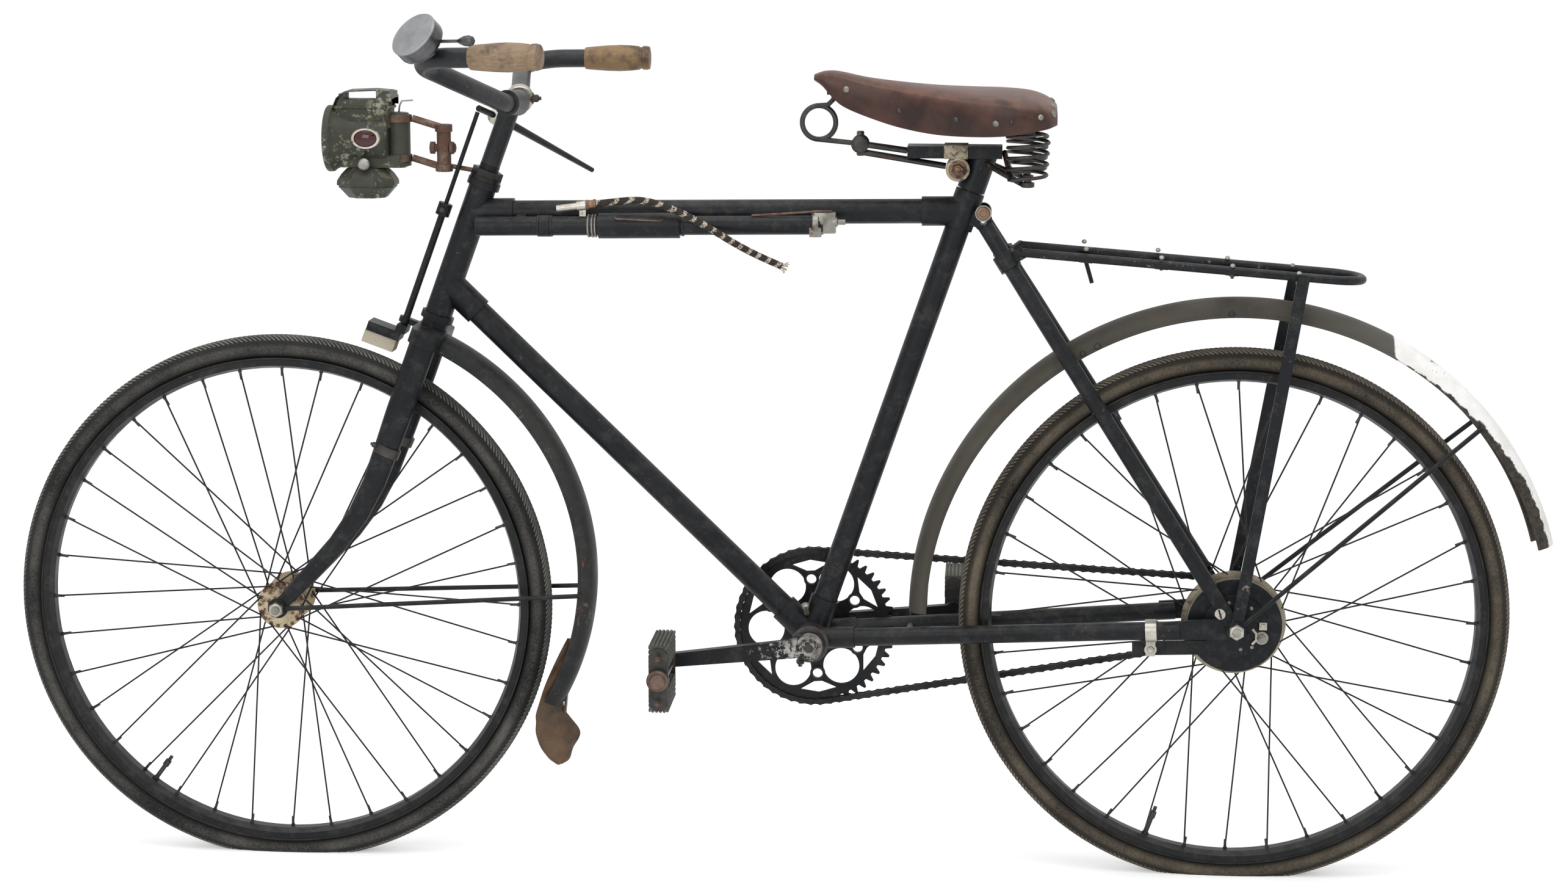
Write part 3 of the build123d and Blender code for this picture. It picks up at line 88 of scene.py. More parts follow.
# Places taken from the solids
rear_hub = middle("rear_tyre")
front_hub = middle("front_tyre")
bracket = middle("crank_axle")
tyre_low, tyre_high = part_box("rear_tyre")
tyre_r = (tyre_high[2] - tyre_low[2]) / 2 / MM
loaded_r = 336              # from the axles down to the floor, with the tyres pressed flat
floor_z = rear_hub.z - loaded_r * MM
head_angle = radians(70)
seat_angle = radians(71.2)
bar_turn = radians(-7.5)
rake = 64
steer_ahead = Vector((sin(head_angle), 0, cos(head_angle)))
steer_up = Vector((-cos(head_angle), 0, sin(head_angle)))
steer_foot = front_hub - steer_ahead * rake * MM


def at(x, y, z):
    """A point given in millimetres from the middle of the rear axle."""
    return rear_hub + mm(x, y, z)


def steer(x, y, t):
    """A point in millimetres ahead of, beside and up along the steering axis."""
    return steer_foot + (steer_ahead * x + LEFT * y + steer_up * t) * MM


def bars(x, y, t):
    """The same for what turns with the skew handlebar."""
    return steer(x * cos(bar_turn) - y * sin(bar_turn), x * sin(bar_turn) + y * cos(bar_turn), t)


seat_up = Vector((-cos(seat_angle), 0, sin(seat_angle)))
seat_joint = bracket + seat_up * 580 * MM
head_joint = steer(0, 0, 563)
pump_back = (seat_joint - head_joint).normalized()
pump_out, pump_drop = 31, 14    # of the pump's axis from the line of the top tube


def on_pump(along, out=0.0, rise=0.0):
    """A point along the pump in millimetres behind the head, out from its axis and up."""
    return head_joint + pump_back * along * MM + mm(0, pump_out + out, rise - pump_drop)


# Materials


def feed(tree, socket, value):
    """Give a socket a plain value or another node's output."""
    if isinstance(value, bpy.types.NodeSocket):
        tree.links.new(value, socket)
    else:
        socket.default_value = value


def add_node(tree, kind, inputs=None, **settings):
    """Add a shader node with its settings and inputs."""
    made = tree.nodes.new("ShaderNode" + kind)
    for key, value in settings.items():
        setattr(made, key, value)
    for key, value in (inputs or {}).items():
        feed(tree, made.inputs[key], value)
    return made


class Finish:
    """A material made of shader nodes, in the coordinates of the object."""

    def __init__(self, name):
        self.material = bpy.data.materials.new(name)
        self.material.use_nodes = True
        self.tree = self.material.node_tree
        self.shader = self.tree.nodes["Principled BSDF"]
        self.place = self.node("TexCoord", "Object")

    def node(self, kind, output, inputs=None, **settings):
        """An output of a new node."""
        return add_node(self.tree, kind, inputs, **settings).outputs[output]

    def set(self, **inputs):
        """Give the shader's inputs, by name with _ for a space."""
        for key, value in inputs.items():
            feed(self.tree, self.shader.inputs[key.replace("_", " ")], value)

    def noise(self, scale, detail=4.0, roughness=0.6, place=None, distortion=0.0):
        """Cloudy noise, with scale in cycles a metre."""
        inputs = {"Vector": place or self.place, "Scale": scale, "Detail": detail}
        inputs |= {"Roughness": roughness, "Distortion": distortion}
        return self.node("TexNoise", "Fac", inputs)

    def cells(self, scale):
        """Distance to the nearest of many scattered points."""
        return self.node("TexVoronoi", "Distance", {"Vector": self.place, "Scale": scale})

    def stretched(self, *scale):
        """The place, stretched along the axes, for streaks and grain."""
        return self.node("Mapping", "Vector", {"Vector": self.place, "Scale": scale})

    def step(self, value, low, high, start=0.0, end=1.0):
        """A value remapped so that low gives start and high gives end."""
        inputs = {"Value": value, "From Min": low, "From Max": high, "To Min": start, "To Max": end}
        return self.node("MapRange", "Result", inputs)

    def mix(self, share, first, second):
        """Blend two colours by a share."""
        first, second = ((*c, 1) if isinstance(c, tuple) else c for c in (first, second))
        return self.node("Mix", 2, {0: share, 6: first, 7: second}, data_type="RGBA")

    def math(self, operation, first, second):
        """A sum, product or the like of two values."""
        return self.node("Math", "Value", {0: first, 1: second}, operation=operation)

    def plus(self, first, second):
        """Sum of two values."""
        return self.math("ADD", first, second)

    def less(self, first, second):
        """Difference of two values."""
        return self.math("SUBTRACT", first, second)

    def times(self, first, second):
        """Product of two values."""
        return self.math("MULTIPLY", first, second)

    def weigh(self, share, first, second):
        """Mean of two values, weighed by the share of the first."""
        return self.plus(self.times(first, share), self.times(second, 1 - share))

    def wear(self):
        """Fine specks, broad patches and the two together."""
        specks, patches = self.noise(150, 6, 0.75), self.noise(22, 7, 0.7)
        return specks, patches, self.weigh(0.55, specks, patches)

    def radius(self, hub):
        """Distance from a crosswise axle."""
        from_hub = self.node("VectorMath", "Vector", {0: self.place, 1: tuple(hub)}, operation="SUBTRACT")
        flat = self.node("VectorMath", "Vector", {0: from_hub, 1: (1, 0, 1)}, operation="MULTIPLY")
        return self.node("VectorMath", "Value", {0: flat}, operation="LENGTH")

    def facing_up(self):
        """How far the surface faces up."""
        return self.node("SeparateXYZ", "Z", {"Vector": self.node("NewGeometry", "Normal")})

    def bump(self, height, strength, distance):
        """Surface relief from a height, up to a distance in millimetres."""
        inputs = {"Height": height, "Strength": strength, "Distance": distance * MM}
        self.set(Normal=self.node("Bump", "Normal", inputs))


RUST = (0.115, 0.048, 0.022)
SCUFFED = (0.06, 0.06, 0.058)
# colour of the dust and painted highlight on the upward faces of old enamel
DUSTY_HIGHLIGHT = (0.085, 0.082, 0.075)


def worn_paint(f, paint, shade, chip, rust, wear, gloss=0.42, rub=None):
    """Old enamel: cloudy colour, fine chips and patches of rust, rubbed bare near an axle; upward faces paler with dust
    and a painted highlight.
    """
    coat = f.mix(f.step(f.noise(7, 5), 0.35, 0.7), paint, shade)
    coat = f.mix(f.times(f.step(f.noise(48, 8, 0.78), 0.5, 0.72), 0.55), coat, SCUFFED)
    specks, _, worn = f.wear()
    if rub is not None:
        worn = f.plus(worn, f.step(f.radius(rub), 0.085, 0.02, 0.0, 0.13))
    mask = f.step(worn, wear, wear + 0.035)
    under = f.mix(f.step(f.noise(40, 4), 0.42, 0.58), chip, rust)
    # dust and painted highlight: upward faces are made paler, where dust lies and where the light from above falls
    dust_and_highlight = f.times(f.step(f.facing_up(), 0.2, 1.0, 0.0, 0.55), f.step(f.noise(60, 6, 0.7), 0.35, 0.7))
    f.set(Base_Color=f.mix(mask, f.mix(dust_and_highlight, coat, DUSTY_HIGHLIGHT), under), Specular_IOR_Level=0.2)
    f.set(Roughness=f.step(f.plus(mask, f.noise(30, 3)), 0.3, 1.4, gloss - 0.06, gloss + 0.34))
    f.bump(f.less(f.times(specks, 0.25), mask), 0.25, 0.4)


def old_metal(f, bright, dull, rust, rusty, roughness):
    """Bare or plated metal with tarnish and rust spots."""
    tarnish = f.mix(f.step(f.noise(35, 6, 0.7), 0.35, 0.65), bright, dull)
    spots = f.noise(130, 7, 0.75)
    mask = f.step(f.weigh(0.6, spots, f.noise(18, 4)), rusty, rusty + 0.07)
    f.set(Base_Color=f.mix(mask, tarnish, rust))
    f.set(Metallic=f.step(mask, 0.0, 1.0, 0.9, 0.05))
    f.set(Roughness=f.step(mask, 0.0, 1.0, roughness, 0.85))
    f.bump(spots, 0.18, 0.3)


def old_rubber(f, colour, dust_and_highlight, dusty=0.5, hub=None):
    """Dry rubber with dust and hairline cracks; on a tyre, a band below the ribs that takes more of the dust colour, a
    painted highlight on the sidewall.
    """
    cloud, cracks = f.noise(9, 6, 0.65), f.noise(420, 3, 0.5)
    dust_and_highlight_film = f.step(f.weigh(0.7, cloud, cracks), dusty - 0.12, dusty + 0.2)
    if hub is not None:
        # painted highlight: a pale band round the sidewall below the ribs, laid over the random dust
        r = f.radius(hub)
        painted_highlight_band = f.times(f.step(r, 0.3235, 0.329), f.step(r, 0.3385, 0.3345))
        dust_and_highlight_film = f.times(dust_and_highlight_film, f.plus(f.times(painted_highlight_band, 0.9), 0.25))
    f.set(Base_Color=f.mix(dust_and_highlight_film, colour, dust_and_highlight))
    f.set(Roughness=f.step(cloud, 0.2, 0.8, 0.72, 0.92), Specular_IOR_Level=0.25)
    f.bump(cracks, 0.3, 0.4)


def saddle_leather(f, dark, pale, scuff, worn_and_lit_top_colour):
    """Brown leather, paler on top from wear and a painted highlight, with pores, creases and scuffs."""
    cloud = f.noise(16, 6, 0.6)
    hide = f.mix(f.step(cloud, 0.36, 0.64), dark, pale)
    creases = f.noise(75, 5, 0.6, f.stretched(0.45, 1.6, 1.0), 0.6)
    # wear and painted highlight: upward faces are paler, worn by sitting and standing in for the light from above
    worn_and_lit_top_mask = f.times(f.step(f.facing_up(), -0.1, 0.75, 0.0, 0.7), f.step(f.noise(30, 6, 0.7), 0.3, 0.6))
    hide = f.mix(worn_and_lit_top_mask, hide, worn_and_lit_top_colour)
    f.set(Base_Color=f.mix(f.step(f.noise(52, 7, 0.75), 0.6, 0.68), hide, scuff))
    f.set(Roughness=f.step(cloud, 0.25, 0.75, 0.32, 0.55), Specular_IOR_Level=0.3)
    f.bump(f.plus(f.times(f.cells(900), 0.5), creases), 0.32, 0.6)


def old_wood(f, pale, dark, grime):
    """Turned grip with fine grain along it and dark, handled patches."""
    grain = f.noise(60, 6, 0.7, f.stretched(0.6, 6, 6), 1.2)
    wood = f.mix(f.step(grain, 0.3, 0.7), dark, pale)
    f.set(Base_Color=f.mix(f.step(f.noise(34, 5, 0.65), 0.48, 0.66), wood, grime))
    f.set(Roughness=f.step(grain, 0.2, 0.8, 0.5, 0.7))
    f.bump(grain, 0.25, 0.4)


def braid(f, dark, worn, pale):
    """Woven hose cover: dark threads with pale tracers that spiral along it."""
    waves = {"Vector": f.stretched(1, 1, 1), "Scale": 36.0, "Distortion": 2.0, "Detail": 2.0}
    tracer = f.node("TexWave", "Fac", waves, bands_direction="DIAGONAL")
    weave = f.cells(800)
    ground = f.mix(f.step(weave, 0.2, 0.7), dark, worn)
    threads = f.times(f.step(tracer, 0.66, 0.76), f.step(f.noise(520, 2), 0.42, 0.52))
    f.set(Base_Color=f.mix(threads, ground, pale))
    f.set(Roughness=0.9, Specular_IOR_Level=0.2)
    f.bump(weave, 0.6, 0.7)


def plain_glass(f, *tint):
    """Lens glass with a little dirt."""
    f.set(Base_Color=f.mix(f.step(f.noise(60, 5), 0.4, 0.7), tint, tuple(0.6 * c for c in tint)))
    f.set(Roughness=f.step(f.noise(45, 4), 0.3, 0.8, 0.05, 0.3))
    f.set(Transmission_Weight=0.6, IOR=1.5)


def tailed_paint(f, start, hub, edge_r):
    """Mudguard enamel whose tail is painted white; start is the place along X, edge_r the sheet's inner edge."""
    coat = f.mix(f.step(f.noise(7, 5), 0.35, 0.7), (0.040, 0.036, 0.028), (0.072, 0.065, 0.051))
    specks, patches, worn = f.wear()
    coat = f.mix(f.step(worn, 0.58, 0.615), coat, RUST)
    along = f.node("SeparateXYZ", "X", {"Vector": f.place})
    coat = f.mix(f.step(along, start + 0.12, start, 0.0, 0.6), coat, (0.11, 0.105, 0.09))
    tail = f.step(f.plus(along, f.times(specks, 0.004)), start, start - 0.002)
    under = f.mix(f.step(specks, 0.4, 0.6), (0.018, 0.016, 0.013), (0.06, 0.05, 0.038))
    coat = f.mix(tail, coat, under)
    ragged = f.times(f.less(patches, 0.5), 0.03)
    chipped = f.plus(f.step(along, start - 0.05, start - 0.22, 0.001, 0.014), ragged)
    above = f.less(f.radius(hub), edge_r)
    kept = f.times(f.step(worn, 0.585, 0.6, 1.0, 0.0), f.step(f.less(above, chipped), 0.0, 0.0015))
    white = f.mix(f.step(f.noise(30, 5), 0.35, 0.75), (0.93, 0.93, 0.92), (0.74, 0.72, 0.68))
    f.set(Base_Color=f.mix(f.times(tail, kept), coat, white))
    f.set(Roughness=f.step(patches, 0.2, 0.8, 0.45, 0.75), Specular_IOR_Level=0.3)
    f.bump(worn, 0.3, 0.5)


recipes = {
    worn_paint: {
        # paint, its shade, chips, rust, where the wear starts, gloss, axle near which it is rubbed bare
        "crank_wear": ((0.012, 0.012, 0.013), (0.03, 0.03, 0.03), (0.42, 0.41, 0.38), (0.2, 0.19, 0.17), 0.5, 0.4),
        "crank_paint": (
            (0.0045, 0.0055, 0.0075), (0.012, 0.013, 0.015), (0.4, 0.39, 0.36), (0.2, 0.19, 0.17), 0.6, 0.42, bracket
        ),
        "carrier_paint": ((0.0055, 0.0070, 0.0095), (0.0115, 0.0125, 0.0145), (0.22, 0.2, 0.17), RUST, 0.585),
        "bar_paint": ((0.009, 0.01, 0.012), (0.034, 0.036, 0.039), (0.14, 0.14, 0.14), RUST, 0.58, 0.38),
        "front_guard_paint": ((0.012, 0.0135, 0.015), (0.034, 0.034, 0.032), (0.13, 0.12, 0.1), RUST, 0.575, 0.5),
        "frame_paint": ((0.0035, 0.0045, 0.0065), (0.011, 0.012, 0.014), (0.11, 0.1, 0.09), RUST, 0.605),
        "rim_paint": ((0.006, 0.007, 0.008), (0.014, 0.014, 0.014), (0.07, 0.06, 0.05), RUST, 0.61),
        "guard_paint": ((0.02, 0.019, 0.016), (0.056, 0.051, 0.042), (0.12, 0.105, 0.085), RUST, 0.565, 0.5),
        "lamp_paint": ((0.072, 0.076, 0.054), (0.036, 0.039, 0.028), (0.3, 0.29, 0.23), (0.13, 0.1, 0.06), 0.535, 0.45),
    },
    old_metal: {
        # bright, dull, rust, where the rust starts, roughness
        "dark_steel": ((0.075, 0.07, 0.066), (0.035, 0.033, 0.032), RUST, 0.56, 0.45),
        "bare_steel": ((0.36, 0.345, 0.32), (0.2, 0.185, 0.165), RUST, 0.57, 0.36),
        "nickel": ((0.50, 0.48, 0.43), (0.32, 0.3, 0.25), (0.15, 0.08, 0.04), 0.56, 0.34),
        "cream_nickel": ((0.50, 0.43, 0.31), (0.36, 0.28, 0.17), (0.09, 0.045, 0.025), 0.49, 0.48),
        "rusty_steel": ((0.19, 0.135, 0.105), (0.085, 0.05, 0.038), (0.1, 0.046, 0.028), 0.5, 0.55),
        "copper": ((0.23, 0.145, 0.095), (0.1, 0.062, 0.042), (0.05, 0.03, 0.022), 0.52, 0.45),
        "strap_nickel": ((0.36, 0.32, 0.24), (0.2, 0.165, 0.115), (0.09, 0.05, 0.03), 0.55, 0.45),
        "dull_nickel": ((0.29, 0.28, 0.25), (0.17, 0.16, 0.14), (0.1, 0.05, 0.03), 0.55, 0.42),
        "black_steel": ((0.034, 0.033, 0.032), (0.018, 0.018, 0.018), (0.07, 0.036, 0.022), 0.61, 0.42),
        "zinc": ((0.34, 0.35, 0.36), (0.25, 0.255, 0.26), (0.12, 0.11, 0.1), 0.64, 0.55),
        "dark_zinc": ((0.12, 0.12, 0.125), (0.07, 0.07, 0.075), (0.05, 0.045, 0.04), 0.64, 0.3),
    },
    old_rubber: {
        # rubber, dust (on a tyre also the colour of its painted highlight band), where the dust starts, hub of a tyre
        "front_rubber": ((0.009, 0.009, 0.009), (0.11, 0.105, 0.095), 0.5, front_hub),
        "rear_rubber": ((0.012, 0.0105, 0.009), (0.13, 0.108, 0.078), 0.48, rear_hub),
        "front_ribs": ((0.085, 0.085, 0.08), (0.24, 0.235, 0.215)),
        "rear_ribs": ((0.09, 0.08, 0.066), (0.26, 0.23, 0.185)),
        "block_rubber": ((0.055, 0.057, 0.05), (0.21, 0.21, 0.18)),
        "pad_rubber": ((0.35, 0.31, 0.23), (0.5, 0.46, 0.37)),
    },
    saddle_leather: {
        # dark, pale, scuffs, top paler from wear and painted highlight
        "leather": ((0.022, 0.009, 0.007), (0.085, 0.036, 0.025), (0.014, 0.008, 0.007), (0.16, 0.078, 0.054)),
        "flap_leather": ((0.022, 0.014, 0.01), (0.15, 0.09, 0.05), (0.06, 0.055, 0.038), (0.14, 0.1, 0.06)),
    },
    old_wood: {
        # pale, dark, grime
        "pale_thread": ((0.5, 0.42, 0.32), (0.3, 0.24, 0.17), (0.12, 0.09, 0.06)),
        "near_wood": ((0.33, 0.235, 0.145), (0.16, 0.1, 0.058), (0.05, 0.034, 0.024)),
        "far_wood": ((0.29, 0.185, 0.085), (0.17, 0.1, 0.042), (0.06, 0.036, 0.022)),
    },
    braid: {"hose_braid": ((0.012, 0.011, 0.011), (0.05, 0.042, 0.036), (0.5, 0.42, 0.34))},
    plain_glass: {"lens_glass": (0.75, 0.78, 0.72), "red_glass": (0.13, 0.008, 0.012)},
    tailed_paint: {"tail_paint": (-0.526, rear_hub, 390 * MM)},
}
finishes = {}
for make, rows in recipes.items():
    for name, row in rows.items():
        finish = Finish(name)
        make(finish, *row)
        finishes[name] = finish.material

node_finish = {
    "frame_paint": (
        "head_tube seat_lug bottom_bracket top_tube down_tube seat_tube chain_stays seat_stays stay_bridges "
        "saddle_clamp rear_mudguard_stays pump pump_clips brake_plate fork_crown fork_blades "
        "brake_rod brake_shoe front_mudguard_stays chainring headset_cups"
    ),
    "bar_paint": "handlebar stem",
    "crank_paint": "cranks",
    "carrier_paint": "carrier carrier_legs",
    "rim_paint": "front_rim rear_rim",
    "guard_paint": "rear_mudguard",
    "front_guard_paint": "front_mudguard",
    "lamp_paint": "lamp_body lamp_pot",
    "dark_steel": "saddle_springs crank_axle pedal_left pedal_right",
    "black_steel": "chain rear_sprocket front_spokes rear_spokes seat_post headset_nuts brake_lever",
    "bare_steel": "rear_axle",
    "dull_nickel": "rear_hub front_axle",
    "rusty_steel": "lamp_bracket",
    "nickel": "brake_arm_clip hose_fitting",
    "cream_nickel": "front_hub",
    "zinc": "bell",
    "front_rubber": "front_tyre",
    "rear_rubber": "rear_tyre",
    "block_rubber": "pedal_rubbers_left pedal_rubbers_right",
    "pad_rubber": "brake_pad",
    "leather": "saddle_leather",
    "flap_leather": "mud_flap",
    "near_wood": "grips",
    "hose_braid": "pump_hose",
}
for finish_name, nodes in node_finish.items():
    for node in nodes.split():
        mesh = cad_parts[node].data
        mesh.materials.clear()
        mesh.materials.append(finishes[finish_name])

# Mesh helpers


def around(axis):
    """Two directions square to an axis and to one another."""
    axis = Vector(axis).normalized()
    side = axis.orthogonal().normalized()
    return side, axis.cross(side)


def turns(steps):
    """Angles around a circle."""
    return [2 * pi * k / steps for k in range(steps)]


def spun(a):
    """A direction out from a crosswise axis, by its angle in radians."""
    return Vector((cos(a), 0, sin(a)))


def out_way(degrees):
    """The same, in degrees."""
    return spun(radians(degrees))


def on_circle(centre, r, degrees, y=0.0):
    """A point of a circle about a crosswise axis."""
    a = radians(degrees)
    return Vector((centre.x + r * MM * cos(a), y * MM, centre.z + r * MM * sin(a)))


class Shape:
    """A mesh under construction."""

    def __init__(self):
        self.bm = bmesh.new()

    def skin(self, rows, wrap=False, loop=False, caps=False):
        """Faces between rows of points; wrap closes each row, loop joins the last row to the first."""
        made = [[self.bm.verts.new(p) for p in row] for row in rows]
        pairs = list(zip(made, made[1:]))
        if loop:
            pairs.append((made[-1], made[0]))
        for a, b in pairs:
            count = len(a)
            for k in range(count if wrap else count - 1):
                n = (k + 1) % count
                self.bm.faces.new((a[k], a[n], b[n], b[k]))
        if caps:
            self.bm.faces.new(made[0])
            self.bm.faces.new(made[-1])

    def solid(self, rows):
        """A closed form through rows of points."""
        self.skin(rows, wrap=True, caps=True)

    def lathe(self, start, axis, profile, steps):
        """Turn a profile of (place along the axis, radius), closed at both ends."""
        axis = Vector(axis).normalized()
        x, y = around(axis)
        rows = []
        for along, r in profile:
            size = max(r * MM, TIP_R)
            rows.append([start + axis * (along * MM) + (x * cos(a) + y * sin(a)) * size for a in turns(steps)])
        self.solid(rows)

    def ring(self, centre, r, section, steps):
        """Sweep a section of (out, across) round a crosswise axis, open in the middle."""
        rows = []
        for k in range(steps):
            out = out_way(360 / steps * k)
            rows.append([centre + (out * (r + a) + LEFT * b) * MM for a, b in section])
        self.skin(rows, wrap=True, loop=True)

    def tube(self, points, r, steps=10):
        """A round bar along points."""
        ways = [(b - a).normalized() for a, b in zip(points, points[1:])]
        ways = [ways[0]] + [(a + b).normalized() for a, b in zip(ways, ways[1:])] + [ways[-1]]
        side = around(ways[0])[0]
        rows = []
        for point, way in zip(points, ways):
            side = (side - way * side.dot(way)).normalized()
            other = way.cross(side)
            rows.append([point + (side * cos(a) + other * sin(a)) * (r * MM) for a in turns(steps)])
        self.solid(rows)

    def prism(self, outline, way):
        """A flat outline of points, pushed along a way."""
        self.solid([outline, [p + way for p in outline]])

    def block(self, centre, x, y, size):
        """A box with its first two edges along x and y."""
        x, y = Vector(x).normalized(), Vector(y).normalized()
        z = x.cross(y)
        a, b, c = (s * MM / 2 for s in size)
        low = [centre + x * i * a + y * j * b - z * c for i, j in ((1, 1), (-1, 1), (-1, -1), (1, -1))]
        self.prism(low, z * 2 * c)

    def bolt(self, place, way, r, tall, thread=0.0):
        """A hexagon head with a chamfer and, if asked, the thread's end on top."""
        self.lathe(place, way, [(0, r), (0.75 * tall, r), (tall, 0.82 * r)], 6)
        if thread:
            end = tall + thread
            self.lathe(place, way, [(tall, 0.5 * r), (end, 0.5 * r), (end + 0.5, 0.4 * r)], 10)

    def screw(self, place, way, r, tall):
        """A domed round head."""
        self.lathe(place, way, [(0, r), (0.4 * tall, r), (0.8 * tall, 0.8 * r), (tall, 0.4 * r)], 14)

    def slotted(self, place, way, r, tall):
        """A flat screw head cut by a slot."""
        side, other = around(way)
        for sign in SIDES:
            half = []
            for k in range(11):
                a = radians(-80 + 16 * k)
                half.append(place + (side * (0.995 * cos(a) + 0.12) + other * sin(a)) * sign * (r * MM))
            self.prism(half, way * (tall * MM))
        self.lathe(place, way, [(0, 1.02 * r), (0.55 * tall, 1.02 * r)], 20)

    def fasten(self, place, way, r, tall):
        """A washer with a hexagon nut and the end of its thread."""
        self.lathe(place, way, [(0, 1.5 * r), (0.22 * tall, 1.5 * r), (0.25 * tall, 1.35 * r)], 20)
        self.bolt(place + Vector(way).normalized() * (0.24 * tall * MM), way, r, 0.76 * tall, 0.3 * tall)

    def piece(self, name, body, finish, slot, replaces=(), sharp=34, bevel=0.0):
        """Finish the mesh as an object that rides on a body, and start the next one."""
        bmesh.ops.remove_doubles(self.bm, verts=self.bm.verts, dist=1e-6)
        bmesh.ops.recalc_face_normals(self.bm, faces=self.bm.faces)
        if bevel:
            hard = [e for e in self.bm.edges if len(e.link_faces) == 2 and e.calc_face_angle() > radians(sharp)]
            bmesh.ops.bevel(self.bm, geom=hard, offset=bevel * MM, segments=2, profile=0.6, affect="EDGES")
        for face in self.bm.faces:
            face.smooth = True
        for edge in self.bm.edges:
            edge.smooth = len(edge.link_faces) != 2 or edge.calc_face_angle() < radians(sharp)
        mesh = bpy.data.meshes.new(name)
        self.bm.to_mesh(mesh)
        self.bm.free()
        self.bm = bmesh.new()
        mesh.materials.append(finishes[finish])
        made = bpy.data.objects.new(name, mesh)
        bpy.context.collection.objects.link(made)
        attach(made, body)
        if replaces:
            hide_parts(*replaces)
        return made


def smooth_row(table, share):
    """Values of a table of rows, blended smoothly at a share of its length."""
    place = share * (len(table) - 1)
    k = min(int(place), len(table) - 2)
    t = place - k
    picks = [table[max(0, min(len(table) - 1, k + d))] for d in (-1, 0, 1, 2)]
    blended = []
    for a, b, c, d in zip(*picks):
        square, cube = 2 * a - 5 * b + 4 * c - d, 3 * b - a - 3 * c + d
        blended.append(0.5 * (2 * b + (c - a) * t + square * t * t + cube * t**3))
    return blended


shape = Shape()             # piece after piece is made in it

# Tyres: round casing, slanted shoulder ribs, and a foot pressed flat on the floor
casing_half, casing_r = 20, 15
casing_mid_r = tyre_r - casing_r
bead_angle = 142
foot_bulge, bulge_depth = 0.2, 8 * MM
rib_count = 356
rib_from, rib_to, rib_slant = 4, 46, 2.4
rib_wide, rib_tall, rib_root = 3, 1.6, 0.4


def on_tyre(hub, around_wheel, across, lift=0.0):
    """A point of the casing: degrees around the wheel and across the section, raised by a lift."""
    a = radians(across)
    point = on_circle(hub, casing_mid_r + (casing_r + lift) * cos(a), around_wheel, (casing_half + lift) * sin(a))
    pressed = floor_z - point.z
    if pressed > 0:
        point.y *= 1 + foot_bulge * min(1.0, pressed / bulge_depth)
        point.z = floor_z
    return point


for side, hub in (("front", front_hub), ("rear", rear_hub)):
    body = f"{side}_wheel"
    section = [bead_angle * (k / 10 - 1) for k in range(21)]
    shape.skin([[on_tyre(hub, 2 * k, t) for t in section] for k in range(180)], wrap=True, loop=True)
    shape.piece(f"{side}_tyre_casing", body, f"{side}_rubber", "tyre", [f"{side}_tyre"])
    half = rib_wide / tyre_r / pi * 90
    for k in range(rib_count):
        for sign in SIDES:
            start = 360 / rib_count * (k + 0.25 * (1 - sign))
            rows = []
            for step in range(5):
                across = sign * (rib_from + (rib_to - rib_from) * step / 4)
                mid = start + rib_slant * step / 4
                lift = rib_tall * (0.35 if step in (0, 4) else 1)
                section = ((-1, -rib_root), (-0.8, lift), (0.8, lift), (1, -rib_root))
                rows.append([on_tyre(hub, mid + half * x, across, z) for x, z in section])
            shape.solid(rows)
    shape.piece(f"{side}_tyre_ribs", body, f"{side}_ribs", "tyre")

# Rims: rolled edges, nipples and valves
rim_edge_r, rim_inner_r, rim_half = 320, 306, 18
rim_roll = [(1.5 * cos(a), 1.1 * sin(a)) for a in turns(8)]
spoke_count = 36
nipple = ((0, 2.6), (3, 2.6), (3.4, 1.9), (13, 1.7))
valve = ((0, 4.5), (4, 4.5), (4.4, 3), (24, 3), (24.5, 4.2), (33, 4.2), (33.5, 2.4), (40, 2.4))
for body, hub, valve_angle in (("front_wheel", front_hub, -53.5), ("rear_wheel", rear_hub, -70.2)):
    for sign in SIDES:
        shape.ring(hub + LEFT * sign * rim_half * MM, rim_edge_r - 0.6, rim_roll, 144)
    shape.piece(f"{body}_rim_edges", body, "black_steel", "steel")
    for k in range(spoke_count):
        turn = 360 / spoke_count * k
        shape.lathe(on_circle(hub, rim_inner_r + 1, turn, 4 - 8 * (k % 2)), -out_way(turn), nipple, 8)
    shape.lathe(on_circle(hub, rim_inner_r + 1, valve_angle), -out_way(valve_angle), valve, 12)
    shape.piece(f"{body}_nipples", body, "dark_steel", "steel")

# Chain: side plates waisted between the pins, with rollers
pitch = 12.7 * MM
ring_teeth, sprocket_teeth = 50, 20
chain_y = -50 * MM
ring_pitch_r = pitch / 2 / sin(pi / ring_teeth)
sprocket_pitch_r = pitch / 2 / sin(pi / sprocket_teeth)
link_line = Vector((bracket.x - rear_hub.x, 0, bracket.z - rear_hub.z))
link_tilt = atan2(link_line.z, link_line.x)
wrap = asin((ring_pitch_r - sprocket_pitch_r) / link_line.length)
run = link_line.length * cos(wrap)
ring_arc = ring_pitch_r * (pi + 2 * wrap)
sprocket_arc = sprocket_pitch_r * (pi - 2 * wrap)
chain_length = 2 * run + ring_arc + sprocket_arc


def on_chain(distance):
    """A point of the line of pins, from the start of the upper run at the sprocket."""
    distance %= chain_length
    high = link_tilt + pi / 2 + wrap
    low = link_tilt - pi / 2 - wrap
    along = spun(link_tilt + wrap)
    back = spun(link_tilt - wrap)
    if distance < run:
        return rear_hub + spun(high) * sprocket_pitch_r + along * distance
    distance -= run
    if distance < ring_arc:
        a = high - distance / ring_pitch_r
        return bracket + spun(a) * ring_pitch_r
    distance -= ring_arc
    if distance < run:
        return bracket + spun(low) * ring_pitch_r - back * distance
    a = low - (distance - run) / sprocket_pitch_r
    return rear_hub + spun(a) * sprocket_pitch_r


